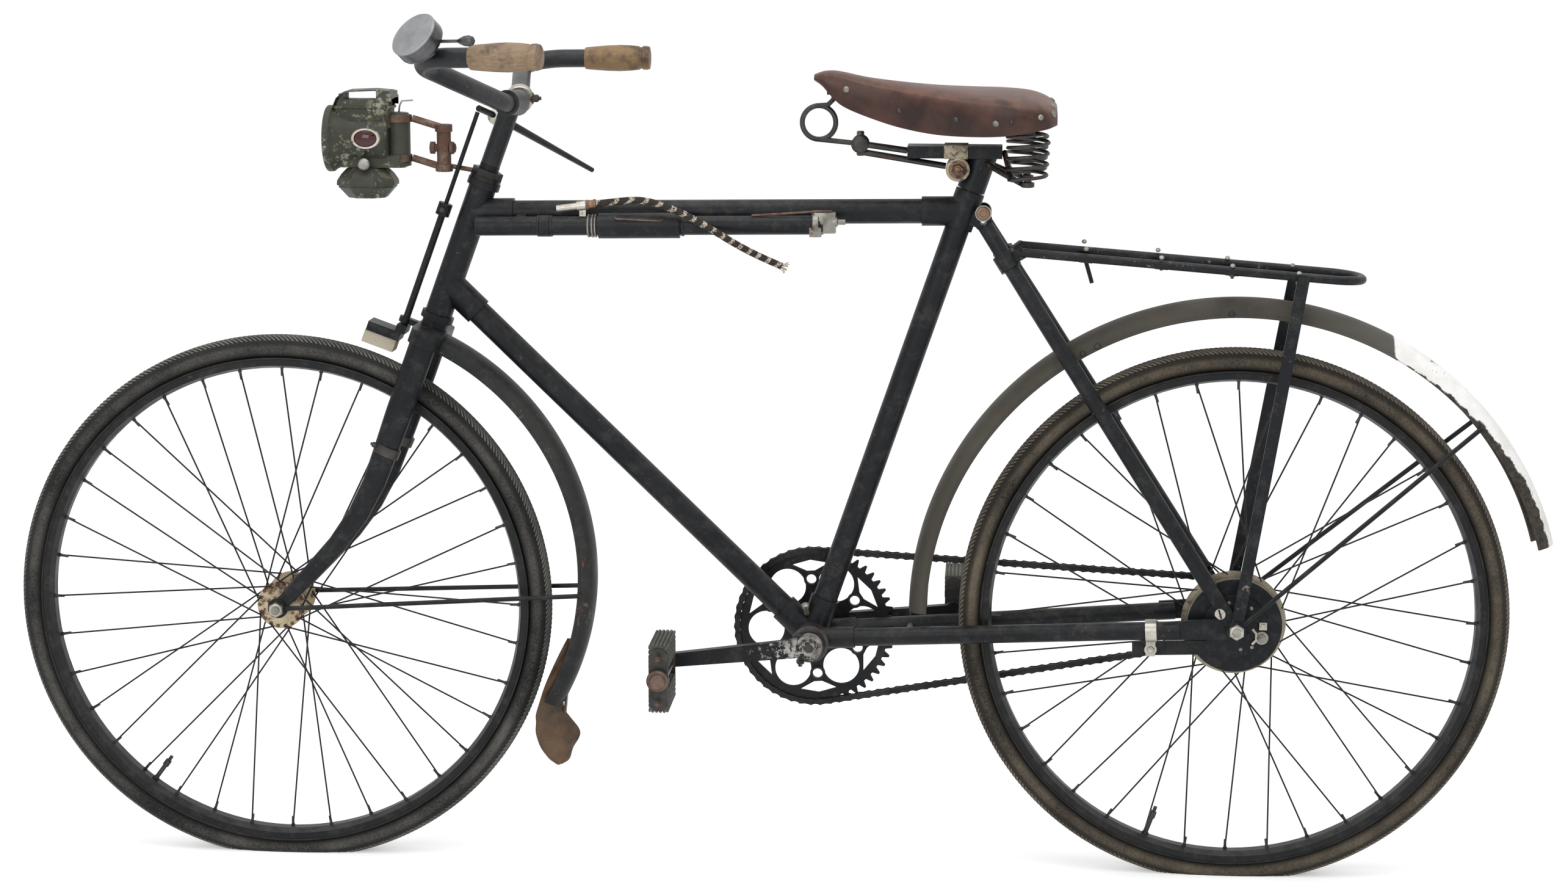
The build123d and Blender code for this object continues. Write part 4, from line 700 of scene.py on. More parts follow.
link_count = 2 * round(chain_length / pitch / 2)
link_step = chain_length / link_count
plate_r, waist_r, plate_thick = 4.6 * MM, 3.1 * MM, 1.2 * MM
inner_level, outer_level = 2.4 * MM, 3.7 * MM
for k in range(link_count):
    a, b = on_chain(k * link_step), on_chain((k + 1) * link_step)
    way = (b - a).normalized()
    rise = Vector((-way.z, 0, way.x))
    outline = []
    for centre, sign in ((a, -1), (b, 1)):
        for turn in (-70, -35, 0, 35, 70):
            t = radians(turn)
            outline.append(centre + (way * sign * cos(t) + rise * sign * sin(t)) * plate_r)
        outline.append((a + b) / 2 + rise * sign * waist_r)
    level = inner_level if k % 2 else outer_level
    for sign in SIDES:
        plate = [Vector((p.x, chain_y + sign * level, p.z)) for p in outline]
        shape.prism(plate, LEFT * sign * plate_thick)
    pin = Vector((a.x, chain_y, a.z))
    for half, r in ((2.3, 3.6), (5.2, 1.8)):
        shape.lathe(pin - LEFT * (half * MM), LEFT, [(0, r), (2 * half, r)], 8)
shape.piece("chain_links", "frame", "black_steel", "steel", ["chain"])

# Saddle: stretched hide over the springs, its skirt and its rivets
saddle_table = (
    # from the rear axle, half width, crown, skirt, shoulder drop, tuck of the skirt
    (537, 9, 685, 678, 3, 0),
    (526, 19, 689, 671, 5, 1),
    (513, 23, 690, 657, 8, 2),
    (499, 26, 688, 646, 9, 3),
    (470, 31, 682, 634, 11, 5),
    (430, 43, 677, 622, 13, 8),
    (385, 67, 673, 615, 15, 10),
    (340, 92, 671, 614, 18, 11),
    (300, 105, 670, 616, 20, 9),
    (268, 105, 667, 621, 20, 6),
    (247, 95, 660, 625, 17, 3),
    (235, 76, 650, 629, 12, 1),
)
hide_thick = 4.6
hide_split = 0.62           # share of the way over the hide at which the crown turns into the skirt
saddle_steps, hide_steps = 60, 28


def on_hide(share, across, inset=0.0):
    """A point of the hide: share from nose to back, across from -1 to 1 over the crown."""
    x, half, crown, skirt, shoulder, tuck = smooth_row(saddle_table, share)
    side = -1 if across < 0 else 1
    over = abs(across)
    half, crown = half - inset, crown - inset
    if over < hide_split:
        a = over / hide_split * pi / 2
        y, z = half * sin(a) ** 0.85, crown - shoulder * (1 - cos(a)) ** 0.9
    else:
        down = (over - hide_split) / (1 - hide_split)
        y = half + 2.5 * sin(down * pi) - tuck * down**1.6
        z = crown - shoulder + (skirt - crown + shoulder) * down
    return at(x, side * y, z)


def hide_grid(inset):
    """Rows of points over the hide, from nose to back."""
    overs = [2 * j / hide_steps - 1 for j in range(hide_steps + 1)]
    return [[on_hide(i / saddle_steps, t, inset) for t in overs] for i in range(saddle_steps + 1)]


def hide_rivet(share, across, r):
    """A domed rivet on the hide, square to it."""
    step = 0.004
    place = on_hide(share, across)
    along = on_hide(share + step, across) - on_hide(share - step, across)
    over = on_hide(share, across + step) - on_hide(share, across - step)
    way = along.cross(over).normalized()
    if way.dot(place - at(400, 0, 630)) < 0:
        way = -way
    shape.lathe(place - way * 0.6 * MM, way, [(0, r), (1.2, r), (2.2, 0.72 * r), (2.7, 0.3 * r)], 14)


def side_rivets(spots):
    """Rivets on both sides of the hide, by place along it, height and radius."""
    shares = [k / 400 for k in range(401)]
    for x, z, r in spots:
        share = min(shares, key=lambda t: abs(smooth_row(saddle_table, t)[0] - x))
        across = min(shares, key=lambda t: abs(on_hide(share, t).z - at(0, 0, z).z))
        for sign in SIDES:
            hide_rivet(share, sign * across, r)


grid, under = hide_grid(0), hide_grid(hide_thick)
shape.skin([top + list(reversed(low)) for top, low in zip(grid, under)], wrap=True)
for end in (0, -1):
    shape.skin([grid[end], under[end]])
shape.piece("saddle_hide", "frame", "leather", "leather", ["saddle_leather"], 50)
for across in (-0.55, -0.28, 0, 0.28, 0.55):
    hide_rivet(0.95, across, 4.2)
side_rivets(((496, 668, 3.9), (310, 632, 4), (256, 640, 3.6)))
shape.piece("saddle_rivets", "frame", "dull_nickel", "brass")
side_rivets(((430, 643, 3.6), (359, 635, 4.2), (291, 634, 2.6)))
shape.piece("saddle_dark_studs", "frame", "dark_steel", "steel")

# Grips, turned from wood, with a ring at the end
grip_profile = (
    # from the open end, radius
    (-1, 13.2), (0, 14.4), (4, 15), (30, 17), (46, 17.5), (62, 16.8), (72, 15.6), (74, 14.2),
    (76, 14.4), (77, 15.6), (82, 16), (86, 15), (87, 10),
)
for name, sign, finish in (("left_grip", 1, "near_wood"), ("right_grip", -1, "far_wood")):
    end = bars(-84, sign * 272, 803)
    out = (end - bars(73, sign * 252, 743)).normalized()
    shape.lathe(end - out * 84 * MM, out, grip_profile, 40)
    shape.piece(name, "steering", finish, "grip", ["grips"] if sign > 0 else ())

# Bell: dark skirt, pale flat face and thumb leaf
bell_at = mm(627.4, 246.9, 41.4)
bell_up = Vector((0.489, 0.600, 0.634)).normalized()
leaf_way = (Vector((-1, 0, -0.28)) + bell_up * bell_up.x).normalized()
leaf_at = bell_at + bell_up * 32 * MM
bell_skirt = ((12.3, 9), (13, 11), (22, 11), (22.5, 20), (24, 26), (27, 29), (30, 30), (44.5, 30), (45, 28))
bell_leaf = ((50, 1.5), (54, 3.5), (60, 6), (66, 6.6), (71, 5), (74, 1))
bell_face = ((44.3, 29), (44.5, 30.4), (46, 30.4), (47, 29.6), (47.6, 27), (48, 12), (48, 0))
shape.lathe(bell_at, bell_up, bell_skirt, 56)
shape.tube([leaf_at + leaf_way * 20 * MM, leaf_at + leaf_way * 55 * MM], 2)
shape.lathe(leaf_at, leaf_way, bell_leaf, 16)
shape.piece("bell_skirt", "steering", "dark_zinc", "nickel", ["bell"])
shape.lathe(bell_at, bell_up, bell_face, 56)
shape.piece("bell_face", "steering", "zinc", "nickel")

# Gas lamp: barrel with bezel and lens, vented hood, jewels, tank and eight-sided pot
lamp = at(1104, 0, 600)
lamp_barrel = (
    # ahead of the lamp's middle, radius
    (-30, 12), (-30, 26), (-28, 29), (-26, 30), (-8, 30), (-7, 30.8), (-4, 30.8), (-3, 30), (14, 30), (20, 31.5),
    (34, 36.5), (40, 39.5), (42, 41.6), (44, 42), (48.5, 42), (50, 40.5), (50, 37.5), (47, 36.5), (45, 34),
    (20, 22), (10, 10),
)
lamp_tank = (
    # up from the lamp's middle, radius
    (-34, 13), (-33.5, 15), (-30, 15), (-29, 14.2), (24, 14.2), (25, 15), (28, 15), (29, 14), (33, 12), (34, 6),
)
hood_foot = ((34, 19), (-26, 19), (-33, 12), (-33, -12), (-26, -19), (34, -19), (39, -12), (39, 12))
hood_levels = ((14, 1.0), (38, 1.0), (39, 1.06), (42, 1.06), (43, 1.0), (50, 0.94))     # height, growth
hood_mid = 3
roof_line = ((40, 41), (35, 52), (28, 58), (18, 61), (-14, 62.5), (-32, 61), (-37, 54), (-37, 46))
lamp_base = ((30, 18), (-44, 18), (-50, 12), (-50, -12), (-44, -18), (30, -18))
shape.lathe(lamp, AHEAD, lamp_barrel, 56)
shape.lathe(lamp - AHEAD * 41 * MM, UP, lamp_tank, 32)
rows = []
for level, grow in hood_levels:
    rows.append([lamp + mm(hood_mid + (x - hood_mid) * grow, y * grow, level) for x, y in hood_foot])
shape.solid(rows)
rows = []
for x, z in roof_line:
    thick = 1.6 if x > -30 else 3
    section = ((20, -thick), (20, 0), (0, 1.4), (-20, 0), (-20, -thick), (0, 1.4 - thick))
    rows.append([lamp + mm(x, y, z + d) for y, d in section])
shape.solid(rows)
shape.block(lamp + mm(-26, 0, 54), AHEAD, LEFT, (20, 38, 13))
shape.block(lamp + mm(29, 0, 52), AHEAD, LEFT, (6, 34, 10))
for sign in SIDES:
    for k in range(3):
        shape.block(lamp + mm(-16 + 18 * k, sign * 19, 26), AHEAD, UP, (12, 2.4, 2))
    shape.lathe(lamp + mm(3, sign * 25, -14), LEFT * sign, ((0, 6), (5.5, 6), (5.5, 3)), 12)
shape.prism([lamp + mm(x, y, -35.5) for x, y in lamp_base], UP * 15 * MM)
shape.piece("lamp_case", "steering", "lamp_paint", "lamp_paint", ["lamp_body"], 30)
for level in (26, -24):
    shape.lathe(lamp + mm(-41, 0, level - 5), UP, ((0, 14), (0.5, 16.4), (9.5, 16.4), (10, 14)), 28)
lamp_clamp = steer(0, 0, 598) + mm(48.7, 0, 51)
for level in (23, -27):
    shape.lathe(lamp_clamp + UP * (level - 5) * MM, UP, ((0, 9), (0.6, 11), (9.4, 11), (10, 9)), 22)
shape.lathe(lamp_clamp + mm(8, 0, -2), AHEAD, ((0, 5), (3, 5), (3.4, 8), (9, 8), (9.6, 6)), 10)
shape.lathe(lamp_clamp + mm(-8, 0, -2), -AHEAD, ((0, 8), (4, 8), (7, 5), (8, 1)), 20)
shape.piece("lamp_bracket_collars", "steering", "rusty_steel", "steel")
shape.lathe(lamp, AHEAD, ((44.5, 36.2), (46.5, 36.2), (48.5, 26), (49.6, 12), (49.8, 0)), 48)
shape.piece("lamp_lens", "steering", "lens_glass", "nickel")

jewel_long, jewel_tall = 18, 13
jewel_parts = (
    # name, finish, slot, rows of (out, share of the radii)
    ("lamp_bezels", "nickel", "nickel", ((0, 1.05), (5, 1.05), (6.5, 0.98), (6.5, 0.82), (3, 0.76))),
    ("lamp_jewels", "red_glass", "brass", ((2.5, 0.8), (5.5, 0.78), (8, 0.5), (8.8, 0.15))),
)
for name, finish, slot, profile in jewel_parts:
    for sign in SIDES:
        place = lamp + mm(-4, sign * 26, 2)
        rows = []
        for out, share in profile:
            oval = [(jewel_long * share * cos(a), jewel_tall * share * sin(a)) for a in turns(28)]
            rows.append([place + mm(x, sign * out, z) for x, z in oval])
        shape.solid(rows)
    shape.piece(name, "steering", finish, slot)

gas_pot = (
    # below the lamp's middle, radius
    (36, 24), (37, 27), (44, 34), (52, 39.5), (55, 40), (58, 40), (59, 37.5), (61, 37.5), (62, 36), (74, 25), (74, 4),
)
eight = [pi / 8 + a for a in turns(8)]
shape.solid([[lamp + mm(r * cos(a), r * sin(a), -z) for a in eight] for z, r in gas_pot])
shape.lathe(lamp, -UP, ((30, 12), (36.5, 12), (36.5, 5)), 20)
shape.piece("lamp_gas_pot", "steering", "lamp_paint", "lamp_paint", ["lamp_pot"], 28)
shape.lathe(lamp + mm(-2, 0, -30), LEFT, ((24, 4), (30, 4), (30.5, 7.5), (35, 7.5), (36.5, 6), (37, 2)), 18)
latch = ((-41, 0, 33), (-43, 4, 42), (-46, 4, 48), (-60, 4, 49))
shape.tube([lamp + mm(*p) for p in latch], 1.1, 8)
shape.piece("lamp_knob", "steering", "dull_nickel", "nickel")

# Mudguards: rolled sheet with beaded edges
guard_half, guard_sheet, bead_r = 29, 1.5, 2.2
guard_curve = 0.91
guard_steps = 16
tab_half, tab_thick = LEFT * 6 * MM, mm(-1.5, 0, 0)


def guard_row(centre, outer_r, deep, degrees, inset):
    """One cross section of a mudguard, inside or outside."""
    row = []
    for k in range(guard_steps + 1):
        a = -pi / 2 + pi * k / guard_steps
        y = (guard_half - inset) * (abs(sin(a)) ** guard_curve) * (1 if a > 0 else -1)
        r = outer_r - deep + (deep - inset) * max(0.0, cos(a)) ** guard_curve
        row.append(on_circle(centre, r, degrees, y))
    return row


def mudguard(name, centre, outer_r, deep, start, end, body, finish, node, tab):
    """The sheet, the beads along its edges and its tab, a strip given by its middle line."""
    count = int(end - start)
    angles = [start + (end - start) * k / count for k in range(count + 1)]
    rows = []
    for a in angles:
        inside = guard_row(centre, outer_r, deep, a, guard_sheet)
        rows.append(guard_row(centre, outer_r, deep, a, 0) + list(reversed(inside)))
    shape.solid(rows)
    for sign in SIDES:
        points = [on_circle(centre, outer_r - deep + 1, a, sign * (guard_half - 1.2)) for a in angles]
        shape.tube(points, bead_r, 8)
    rows = [[p + tab_half, p - tab_half, p - tab_half + tab_thick, p + tab_half + tab_thick] for p in tab]
    shape.solid(rows)
    shape.piece(name, body, finish, "guard_paint", [node], 40)


mudguard(
    "rear_guard_sheet", rear_hub, 412, 22, 0.5, 165, "frame", "tail_paint", "rear_mudguard",
    [at(410.5, 0, 12), at(410.5, 0, -3)],
)
front_guard_centre = front_hub + mm(-63, 0, 42)
front_guard_top = 115
edge = on_circle(front_guard_centre, 343.5, front_guard_top)
way = Vector((sin(radians(front_guard_top)), 0, -cos(radians(front_guard_top))))
mudguard(
    "front_guard_sheet", front_guard_centre, 345, 21, front_guard_top, 210.5, "steering", "front_guard_paint",
    "front_mudguard", [edge - way * 12 * MM, edge + way * 14 * MM],
)

# Pedals: ribbed rubber blocks
block_place = 28
for side in ("left", "right"):
    low, high = corners(f"pedal_rubbers_{side}")
    eye = (low + high) / 2
    for place in (block_place, -block_place):
        outline = []
        for face in SIDES:
            for k in range(5):
                for dz, x in ((-2.6, 10.9), (-1.6, 12.5), (1.6, 12.5), (2.6, 10.9)):
                    outline.append((face * x, face * (6 * k - 12 + dz)))
            for k in range(4):
                for dx, z in ((2, 13.2), (1.3, 15), (-1.3, 15), (-2, 13.2)):
                    outline.append((face * (7.2 - 4.8 * k + dx), face * z))
        points = [Vector((eye.x + x * MM, low.y, eye.z + (z + place) * MM)) for x, z in outline]
        shape.prism(points, LEFT * (high.y - low.y))
    shape.piece(f"{side}_pedal_blocks", f"{side}_pedal", "block_rubber", "block", [f"pedal_rubbers_{side}"], 25)

# Saddle springs: rear coils under the cantle plate, nose ring, ribbed knob and rails
coil_turns, coil_steps, coil_tall = 4.4, 24, 58
rail_r, rail_y = 3.3, 9.5
coil_count = int(coil_turns * coil_steps)
boss = at(356.5, 0, 569.65)
knob_at = at(479, 0, 599)
for sign in SIDES:
    foot = at(270, sign * 56, 560)
    points = []
    for k in range(coil_count + 1):
        a = 2 * pi * k / coil_steps
        r = 23 + 3 * k / coil_count
        points.append(foot + mm(r * cos(a), r * sin(a), coil_tall * k / coil_count))
    shape.tube(points, 2.3, 8)
    shape.tube([at(299, sign * rail_y, 590), at(294, sign * 22, 572), at(289, sign * 56, 560)], rail_r)
    shape.tube([knob_at + mm(0, sign * rail_y, 0), at(420, sign * rail_y, 591)], rail_r)
    start = knob_at + mm(0, sign * rail_y, -10)
    end = boss + mm(0, sign * rail_y, 0)
    shape.tube([start, end + (start - end).normalized() * 15.4 * MM], rail_r)
    shape.tube([at(322, sign * 14, 577), at(300, sign * 36, 566), at(278, sign * 56, 556)], 3.6)
    shape.lathe(foot - UP * 9 * MM, UP, ((0, 7), (1, 8.5), (6, 8.5), (7, 5), (14, 4)), 16)
cantle = ((262, 93), (272, 98), (284, 97), (284, -97), (272, -98), (262, -93))
shape.prism([at(x, y, 618.5) for x, y in cantle], UP * 4 * MM)
shape.ring(at(531, 0, 625), 21, [(rail_r * cos(a), rail_r * sin(a)) for a in turns(10)], 40)
shape.tube([at(531, 0, 646), at(520, 0, 647), at(513, 0, 654), at(512, 0, 672)], rail_r)
shape.block(at(514, 0, 669), AHEAD, LEFT, (14, 15, 18))
shape.tube([at(531, 0, 604), at(505, 0, 601.5), knob_at], rail_r)
ribs = [(-17, 5), (-16, 9), (-13, 11)]
for k in range(6):
    ribs += [(-12 + 4.4 * k, 11), (-10.4 + 4.4 * k, 9.4)]
shape.lathe(knob_at, LEFT, ribs + [(14, 11), (16, 9), (17, 5)], 24)
shape.bolt(knob_at + UP * 9 * MM, UP, 5, 7)
shape.bolt(knob_at - UP * 9 * MM, -UP, 5, 6)
shape.piece("saddle_spring_frame", "frame", "dark_steel", "steel", ["saddle_springs"])

# Straps and bolts of the saddle clamp
straps, bolts = Shape(), Shape()
for sign in SIDES:
    straps.block(at(359, sign * 24.9, 590.5), AHEAD, UP, (30, 15.5, 1.6))
    straps.block(at(359, sign * 23, 598.9), AHEAD, LEFT, (30, 5, 1.4))
    face = boss + mm(0, sign * 24, 0)
    straps.lathe(face, LEFT * sign, ((0, 15), (1.5, 15), (2, 13.5), (2, 4)), 30)
    bolts.lathe(face, LEFT * sign, ((2, 11.5), (3.5, 11.5), (4, 10), (4, 4)), 24)
    bolts.bolt(face + LEFT * sign * 4 * MM, LEFT * sign, 8, 6, 3)
straps.piece("saddle_clamp_straps", "frame", "strap_nickel", "nickel", bevel=0.4)
bolts.piece("saddle_clamp_bolts", "frame", "copper", "brass")

# Rear brake: dust cover, drum edge, lever, screws and nuts, with the bolt of the arm's clip
axle_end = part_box("rear_axle")[1][1]
axle_washer = ((0, 8), (1, 8), (1.4, 7), (1.4, 5.7))
cover, nuts, small, drum_edge = Shape(), Shape(), Shape(), Shape()
cover.lathe(rear_hub, LEFT, ((42.9, 38), (42.9, 59.2), (43.3, 59.6), (43.8, 59.2), (43.8, 38)), 64)
cover.lathe(rear_hub, LEFT, ((48, 40), (48.4, 36), (48.4, 30), (49.2, 28), (49.2, 16)), 48)
nuts.tube([at(-22, 49.5, -2), at(-27, 49.5, -8), at(-27, 49.5, -16), at(-22, 49.5, -22)], 2, 8)
screw_at = at(20.5, 0, 20.7) + LEFT * (axle_end - 19.9 * MM)
nuts.slotted(screw_at, LEFT, 6.2, 3.5)
cover.block(screw_at + LEFT * 3.2 * MM, Vector((0.3, 0, 1)), LEFT, (12, 1.2, 2.2))
nuts.block(at(-35, 50.6, 2), AHEAD, UP, (9.5, 9.5, 5))
nuts.lathe(at(-35, 0, 2), LEFT, ((53, 3.2), (55.5, 3.2), (56, 2.4)), 12)
nuts.lathe(Vector((rear_hub.x, axle_end - 5 * MM, rear_hub.z)), LEFT, axle_washer, 24)
nuts.fasten(at(105, 51.3, -31), LEFT, 5.2, 5)
small.fasten(at(-34, 48.2, -14), LEFT, 5.6, 5)
for x, z in ((-8, -29), (-22, -26), (8, 30), (-20, 24)):
    small.screw(at(x, 48.2, z), LEFT, 2.6, 1.8)
drum_edge.lathe(rear_hub, LEFT, ((25, 60.6), (25, 65.4), (25.6, 65.8), (26.4, 65.4), (26.4, 60.6)), 64)
drum_edge.piece("drum_edge_ring", "rear_wheel", "strap_nickel", "steel")
cover.piece("brake_dust_cover", "frame", "frame_paint", "frame_paint")
nuts.piece("rear_bright_nuts", "frame", "nickel", "nickel")
small.piece("rear_small_screws", "frame", "dull_nickel", "brass")

# Bolts of the frame: seat stays, carrier, mudguard, oiler and bearing cups
rusty, dark, dull = Shape(), Shape(), Shape()
ear = at(324, 0, 515)
ear_half = 18.3
stay_bolt = ((0, 9.4), (1.2, 9.4), (1.6, 8.4), (2.8, 8), (3.4, 6.5), (3.4, 4.4), (2.6, 4), (2.6, 0.5))
stay_ring = ((0, 9.5), (1.8, 10.4), (2.6, 10.2), (2.6, 8.6), (0.4, 8.6))
for sign in SIDES:
    face = ear + LEFT * sign * ear_half * MM
    rusty.lathe(face, LEFT * sign, stay_bolt, 28)
    dull.lathe(face, LEFT * sign, stay_ring, 28)
rusty.lathe(ear - LEFT * ear_half * MM, LEFT, [(0, 3.8), (2 * ear_half, 3.8)], 16)
rail_front, rail_back = at(276, 0, 479.7), at(-104, 0, 440)
for share in (0.21, 0.455, 0.685, 0.9):
    for sign in SIDES:
        spot = rail_front + (rail_back - rail_front) * share + LEFT * sign * 44 * MM
        dull.screw(spot + mm(0, 3.2, 3.4), Vector((0, 0.7, 0.7)), 3.2, 2.2)
        dark.bolt(spot - UP * 6.2 * MM, -UP, 4, 4, 2)
for degrees in (139.5, 88, 63, 60):
    for sign in SIDES:
        dark.bolt(on_circle(rear_hub, 394.5, degrees, sign * 28.6), LEFT * sign, 3.8, 3.2)
shell_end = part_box("bottom_bracket")[1][1]
reach = 60 - shell_end / MM
cup = ((0, 21.4), (0.25, 21.4), (0.3, 24), (0.6, 24), (0.65, 20), (0.8, 18), (0.8, 9))    # share of the reach, radius
for sign in SIDES:
    start = Vector((bracket.x, sign * shell_end, bracket.z))
    dark.lathe(start, LEFT * sign, [(share * reach, r) for share, r in cup], 36)
oil_cap = ((-6, 4), (4, 4), (4.5, 5.4), (8, 5.4), (9.5, 3.5), (10, 1))
dull.lathe(at(543, 14, 3), Vector((0.15, 0.4, 1)), oil_cap, 16)
rusty.piece("frame_copper_bolts", "frame", "copper", "brass")
dark.piece("frame_dark_bolts", "frame", "dark_steel", "steel")
dull.piece("frame_dull_fittings", "frame", "dull_nickel", "steel")

# Pump: pegs, bands, rear fitting, latch wire and the brake wire along the top tube
bright, dark, wires = Shape(), Shape(), Shape()


def pump_band(shape, start, wide, r):
    """A ring round the pump."""
    shape.lathe(on_pump(start), pump_back, [(0, r), (1, r + 0.8), (wide - 1, r + 0.8), (wide, r)], 28)


for start, r in ((86, 12.6), (102, 12.6), (268, 12.7)):
    pump_band(dark, start, 4, r)
for start in (58, 430):
    a, b = on_pump(start + 6), on_pump(start + 6, -pump_out, pump_drop)
    dark.block((a + b) / 2, pump_back, b - a, (12, (b - a).length / MM - 10, 12))
for start in (150, 155, 159):
    pump_band(bright, start, 2.6, 14.2)
pump_band(bright, 433, 8, 14.6)
bright.block(on_pump(449, 2, 3), pump_back, UP, (26, 26, 14))
bright.lathe(on_pump(458, 4, 4), pump_back, [(0, 6), (6, 6), (7, 3.5), (16, 3.5), (16.5, 2)], 14)
bright.block(on_pump(437, 9, -8), pump_back, UP, (15, 12, 10))
bright.fasten(on_pump(446, 9.5, 5), LEFT, 4, 4)
brake_wire = ((357, 4, 12.5), (400, 5, 15), (440, 5, 17.5), (457, 5, 17.5), (459, 5, 12))
latch_wire = ((185, 12, 11.5), (187, 15, 10), (243, 15, 7), (246, 12, 9))
wires.tube([on_pump(*p) for p in brake_wire], 1.5, 8)
wires.tube([on_pump(*p) for p in latch_wire], 1.2, 8)
dark.piece("pump_pegs", "frame", "frame_paint", "frame_paint", ["pump_clips"])
bright.piece("pump_fittings", "frame", "dull_nickel", "nickel", bevel=0.5)
wires.piece("pump_wires", "frame", "rusty_steel", "brass")

# Front brake: clamp ring, pivot disc and collar bolt; bands on the fork blades; axle washers; guard bolts
bright, dark = Shape(), Shape()
clamp_start = bars(0, -34, 711)
ring_way = (bars(73, -252, 743) - clamp_start).normalized()
ring_mid = clamp_start + ring_way * 22 * MM
clamp_ring = ((0, 12.6), (0, 16.4), (1, 17.3), (15, 17.3), (16, 16.4), (16, 12.6))
bright.lathe(ring_mid - ring_way * 8 * MM, ring_way, clamp_ring, 36)
pivot = bars(22, -34, 684)
bright.lathe(pivot + LEFT * 6 * MM, LEFT, ((0, 10), (1.6, 10.4), (2.6, 10), (3, 8.6), (3, 3)), 28)
dark.fasten(ring_mid - AHEAD * 15.5 * MM, -AHEAD, 5, 9)
dark.bolt(steer(37, 8.6, 554), LEFT, 4, 4)
band_way, band_side = Vector((0.4, 0, -0.917)), Vector((0.917, 0, 0.4))
band_long, band_wide = 14.6, 11
front_axle_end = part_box("front_axle")[1][1]
for sign in SIDES:
    mid = at(1076, sign * 46, 207)
    rows = []
    for along, grow in ((-7, 0), (-6, 1.6), (6, 1.6), (7, 0)):
        oval = [(band_side * (band_long + grow) * cos(a), LEFT * (band_wide + grow) * sin(a)) for a in turns(28)]
        rows.append([mid + (band_way * along + x + y) * MM for x, y in oval])
    dark.solid(rows)
    dark.fasten(mid + band_side * 15.5 * MM, band_side, 3.6, 6)
    face = Vector((front_hub.x, sign * (front_axle_end - 5 * MM), front_hub.z))
    bright.lathe(face, LEFT * sign, axle_washer, 24)
    dark.bolt(on_circle(front_guard_centre, 325.5, 184, sign * 29.2), LEFT * sign, 3.8, 3.2)
bright.piece("steering_bright_rings", "steering", "nickel", "nickel")
dark.piece("steering_dark_bolts", "steering", "dark_steel", "steel")

# Raised rings round the bosses of the chainring
boss_section = ((6.4, -3), (9.4, -3), (10, -2.4), (10, 2.4), (9.4, 3), (6.4, 3))
boss_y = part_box("chainring")[1][1] / MM - 1.5
for k in range(6):
    shape.ring(on_circle(bracket, 63, 26 + 60 * k, boss_y), 0, boss_section, 22)
shape.piece("chainring_bosses", "crankset", "black_steel", "steel")

# Spoke heads on the flanges of the front hub
flange_y = 32.6
for k in range(18):
    for sign in SIDES:
        shape.screw(on_circle(front_hub, 28, 20 * k + 10 * (sign < 0), sign * flange_y), LEFT * sign, 2.3, 1.6)
shape.piece("front_spoke_heads", "front_wheel", "rusty_steel", "steel")

# Crank ends with their cotters, and caps of the pedals
crank_cap = ((0, 16), (0.8, 16), (1.2, 14.5), (1.2, 11), (2.4, 10.4), (3.4, 9), (3.4, 6), (2.6, 5.4), (2.6, 0.5))
pedal_cap = ((-2, 13), (0.6, 13), (1, 10.5), (4, 10), (6, 8.6), (7, 6), (7, 0.5))
for sign in SIDES:
    shape.lathe(Vector((bracket.x, sign * 73 * MM, bracket.z)), LEFT * sign, crank_cap, 32)
    pin = bracket + mm(11 * sign, sign * 67, 0)
    shape.tube([pin - UP * 17 * MM, pin + UP * 15 * MM], 4, 14)
    shape.bolt(pin - UP * 17 * MM, -UP, 5.6, 5, 3)
shape.piece("crank_ends", "crankset", "crank_wear", "steel")
for side, sign in (("left", 1), ("right", -1)):
    low, high = corners(f"pedal_{side}")
    eye = (low + high) / 2
    eye.y = high.y if sign > 0 else low.y
    shape.lathe(eye, LEFT * sign, pedal_cap, 28)
    for z in (block_place, -block_place):
        shape.bolt(eye + UP * z * MM, LEFT * sign, 4, 3.5, 2)
    shape.piece(f"{side}_pedal_caps", f"{side}_pedal", "rusty_steel", "steel")

# Mud flap: a cupped spade of leather on its tongue
flap_top = at(855, 0, -113)
flap_down = Vector((0.0995, 0, -0.995))
flap_half_thick = 1.3
flap_steps, flap_across = 44, 12
flap_edges = (
    # near edge, far edge, in millimetres from the rear axle
    (850, 27, -38, 838, 22, -42),
    (870, 28, -78, 850, 20, -85),
    (883, 28, -111, 858, 14, -118),
    (891, 27, -138, 859, 2, -136),
    (892, 26, -152, 854, -6, -149),
    (892, 24, -169, 842, -12, -167),
    (887, 20, -186, 842, -14, -180),
    (879, 15, -200, 849, -10, -191),
    (872, 8, -209, 853, -4, -205),
    (867, 3, -213, 862, 0, -212),
)


def flap_line(share):
    """Near and far edge of the flap at a share of its length."""
    row = smooth_row(flap_edges, min(1, max(0, share)))
    return at(*row[:3]), at(*row[3:])


def flap_row(share, lift):
    """A row across the flap's face or back, hollow and creased in the middle."""
    near, far = flap_line(share)
    down = sum(flap_line(share + 0.02), Vector()) - sum(flap_line(share - 0.02), Vector())
    out = (far - near).cross(down).normalized()
    row = []
    for k in range(flap_across + 1):
        hollow = (1 - (2 * k / flap_across - 1) ** 2) * (far - near).length * 0.12
        crease = 0.5 * MM * sin(40 * share + k)
        row.append(near + (far - near) * k / flap_across + out * (hollow + crease + lift * MM))
    return row


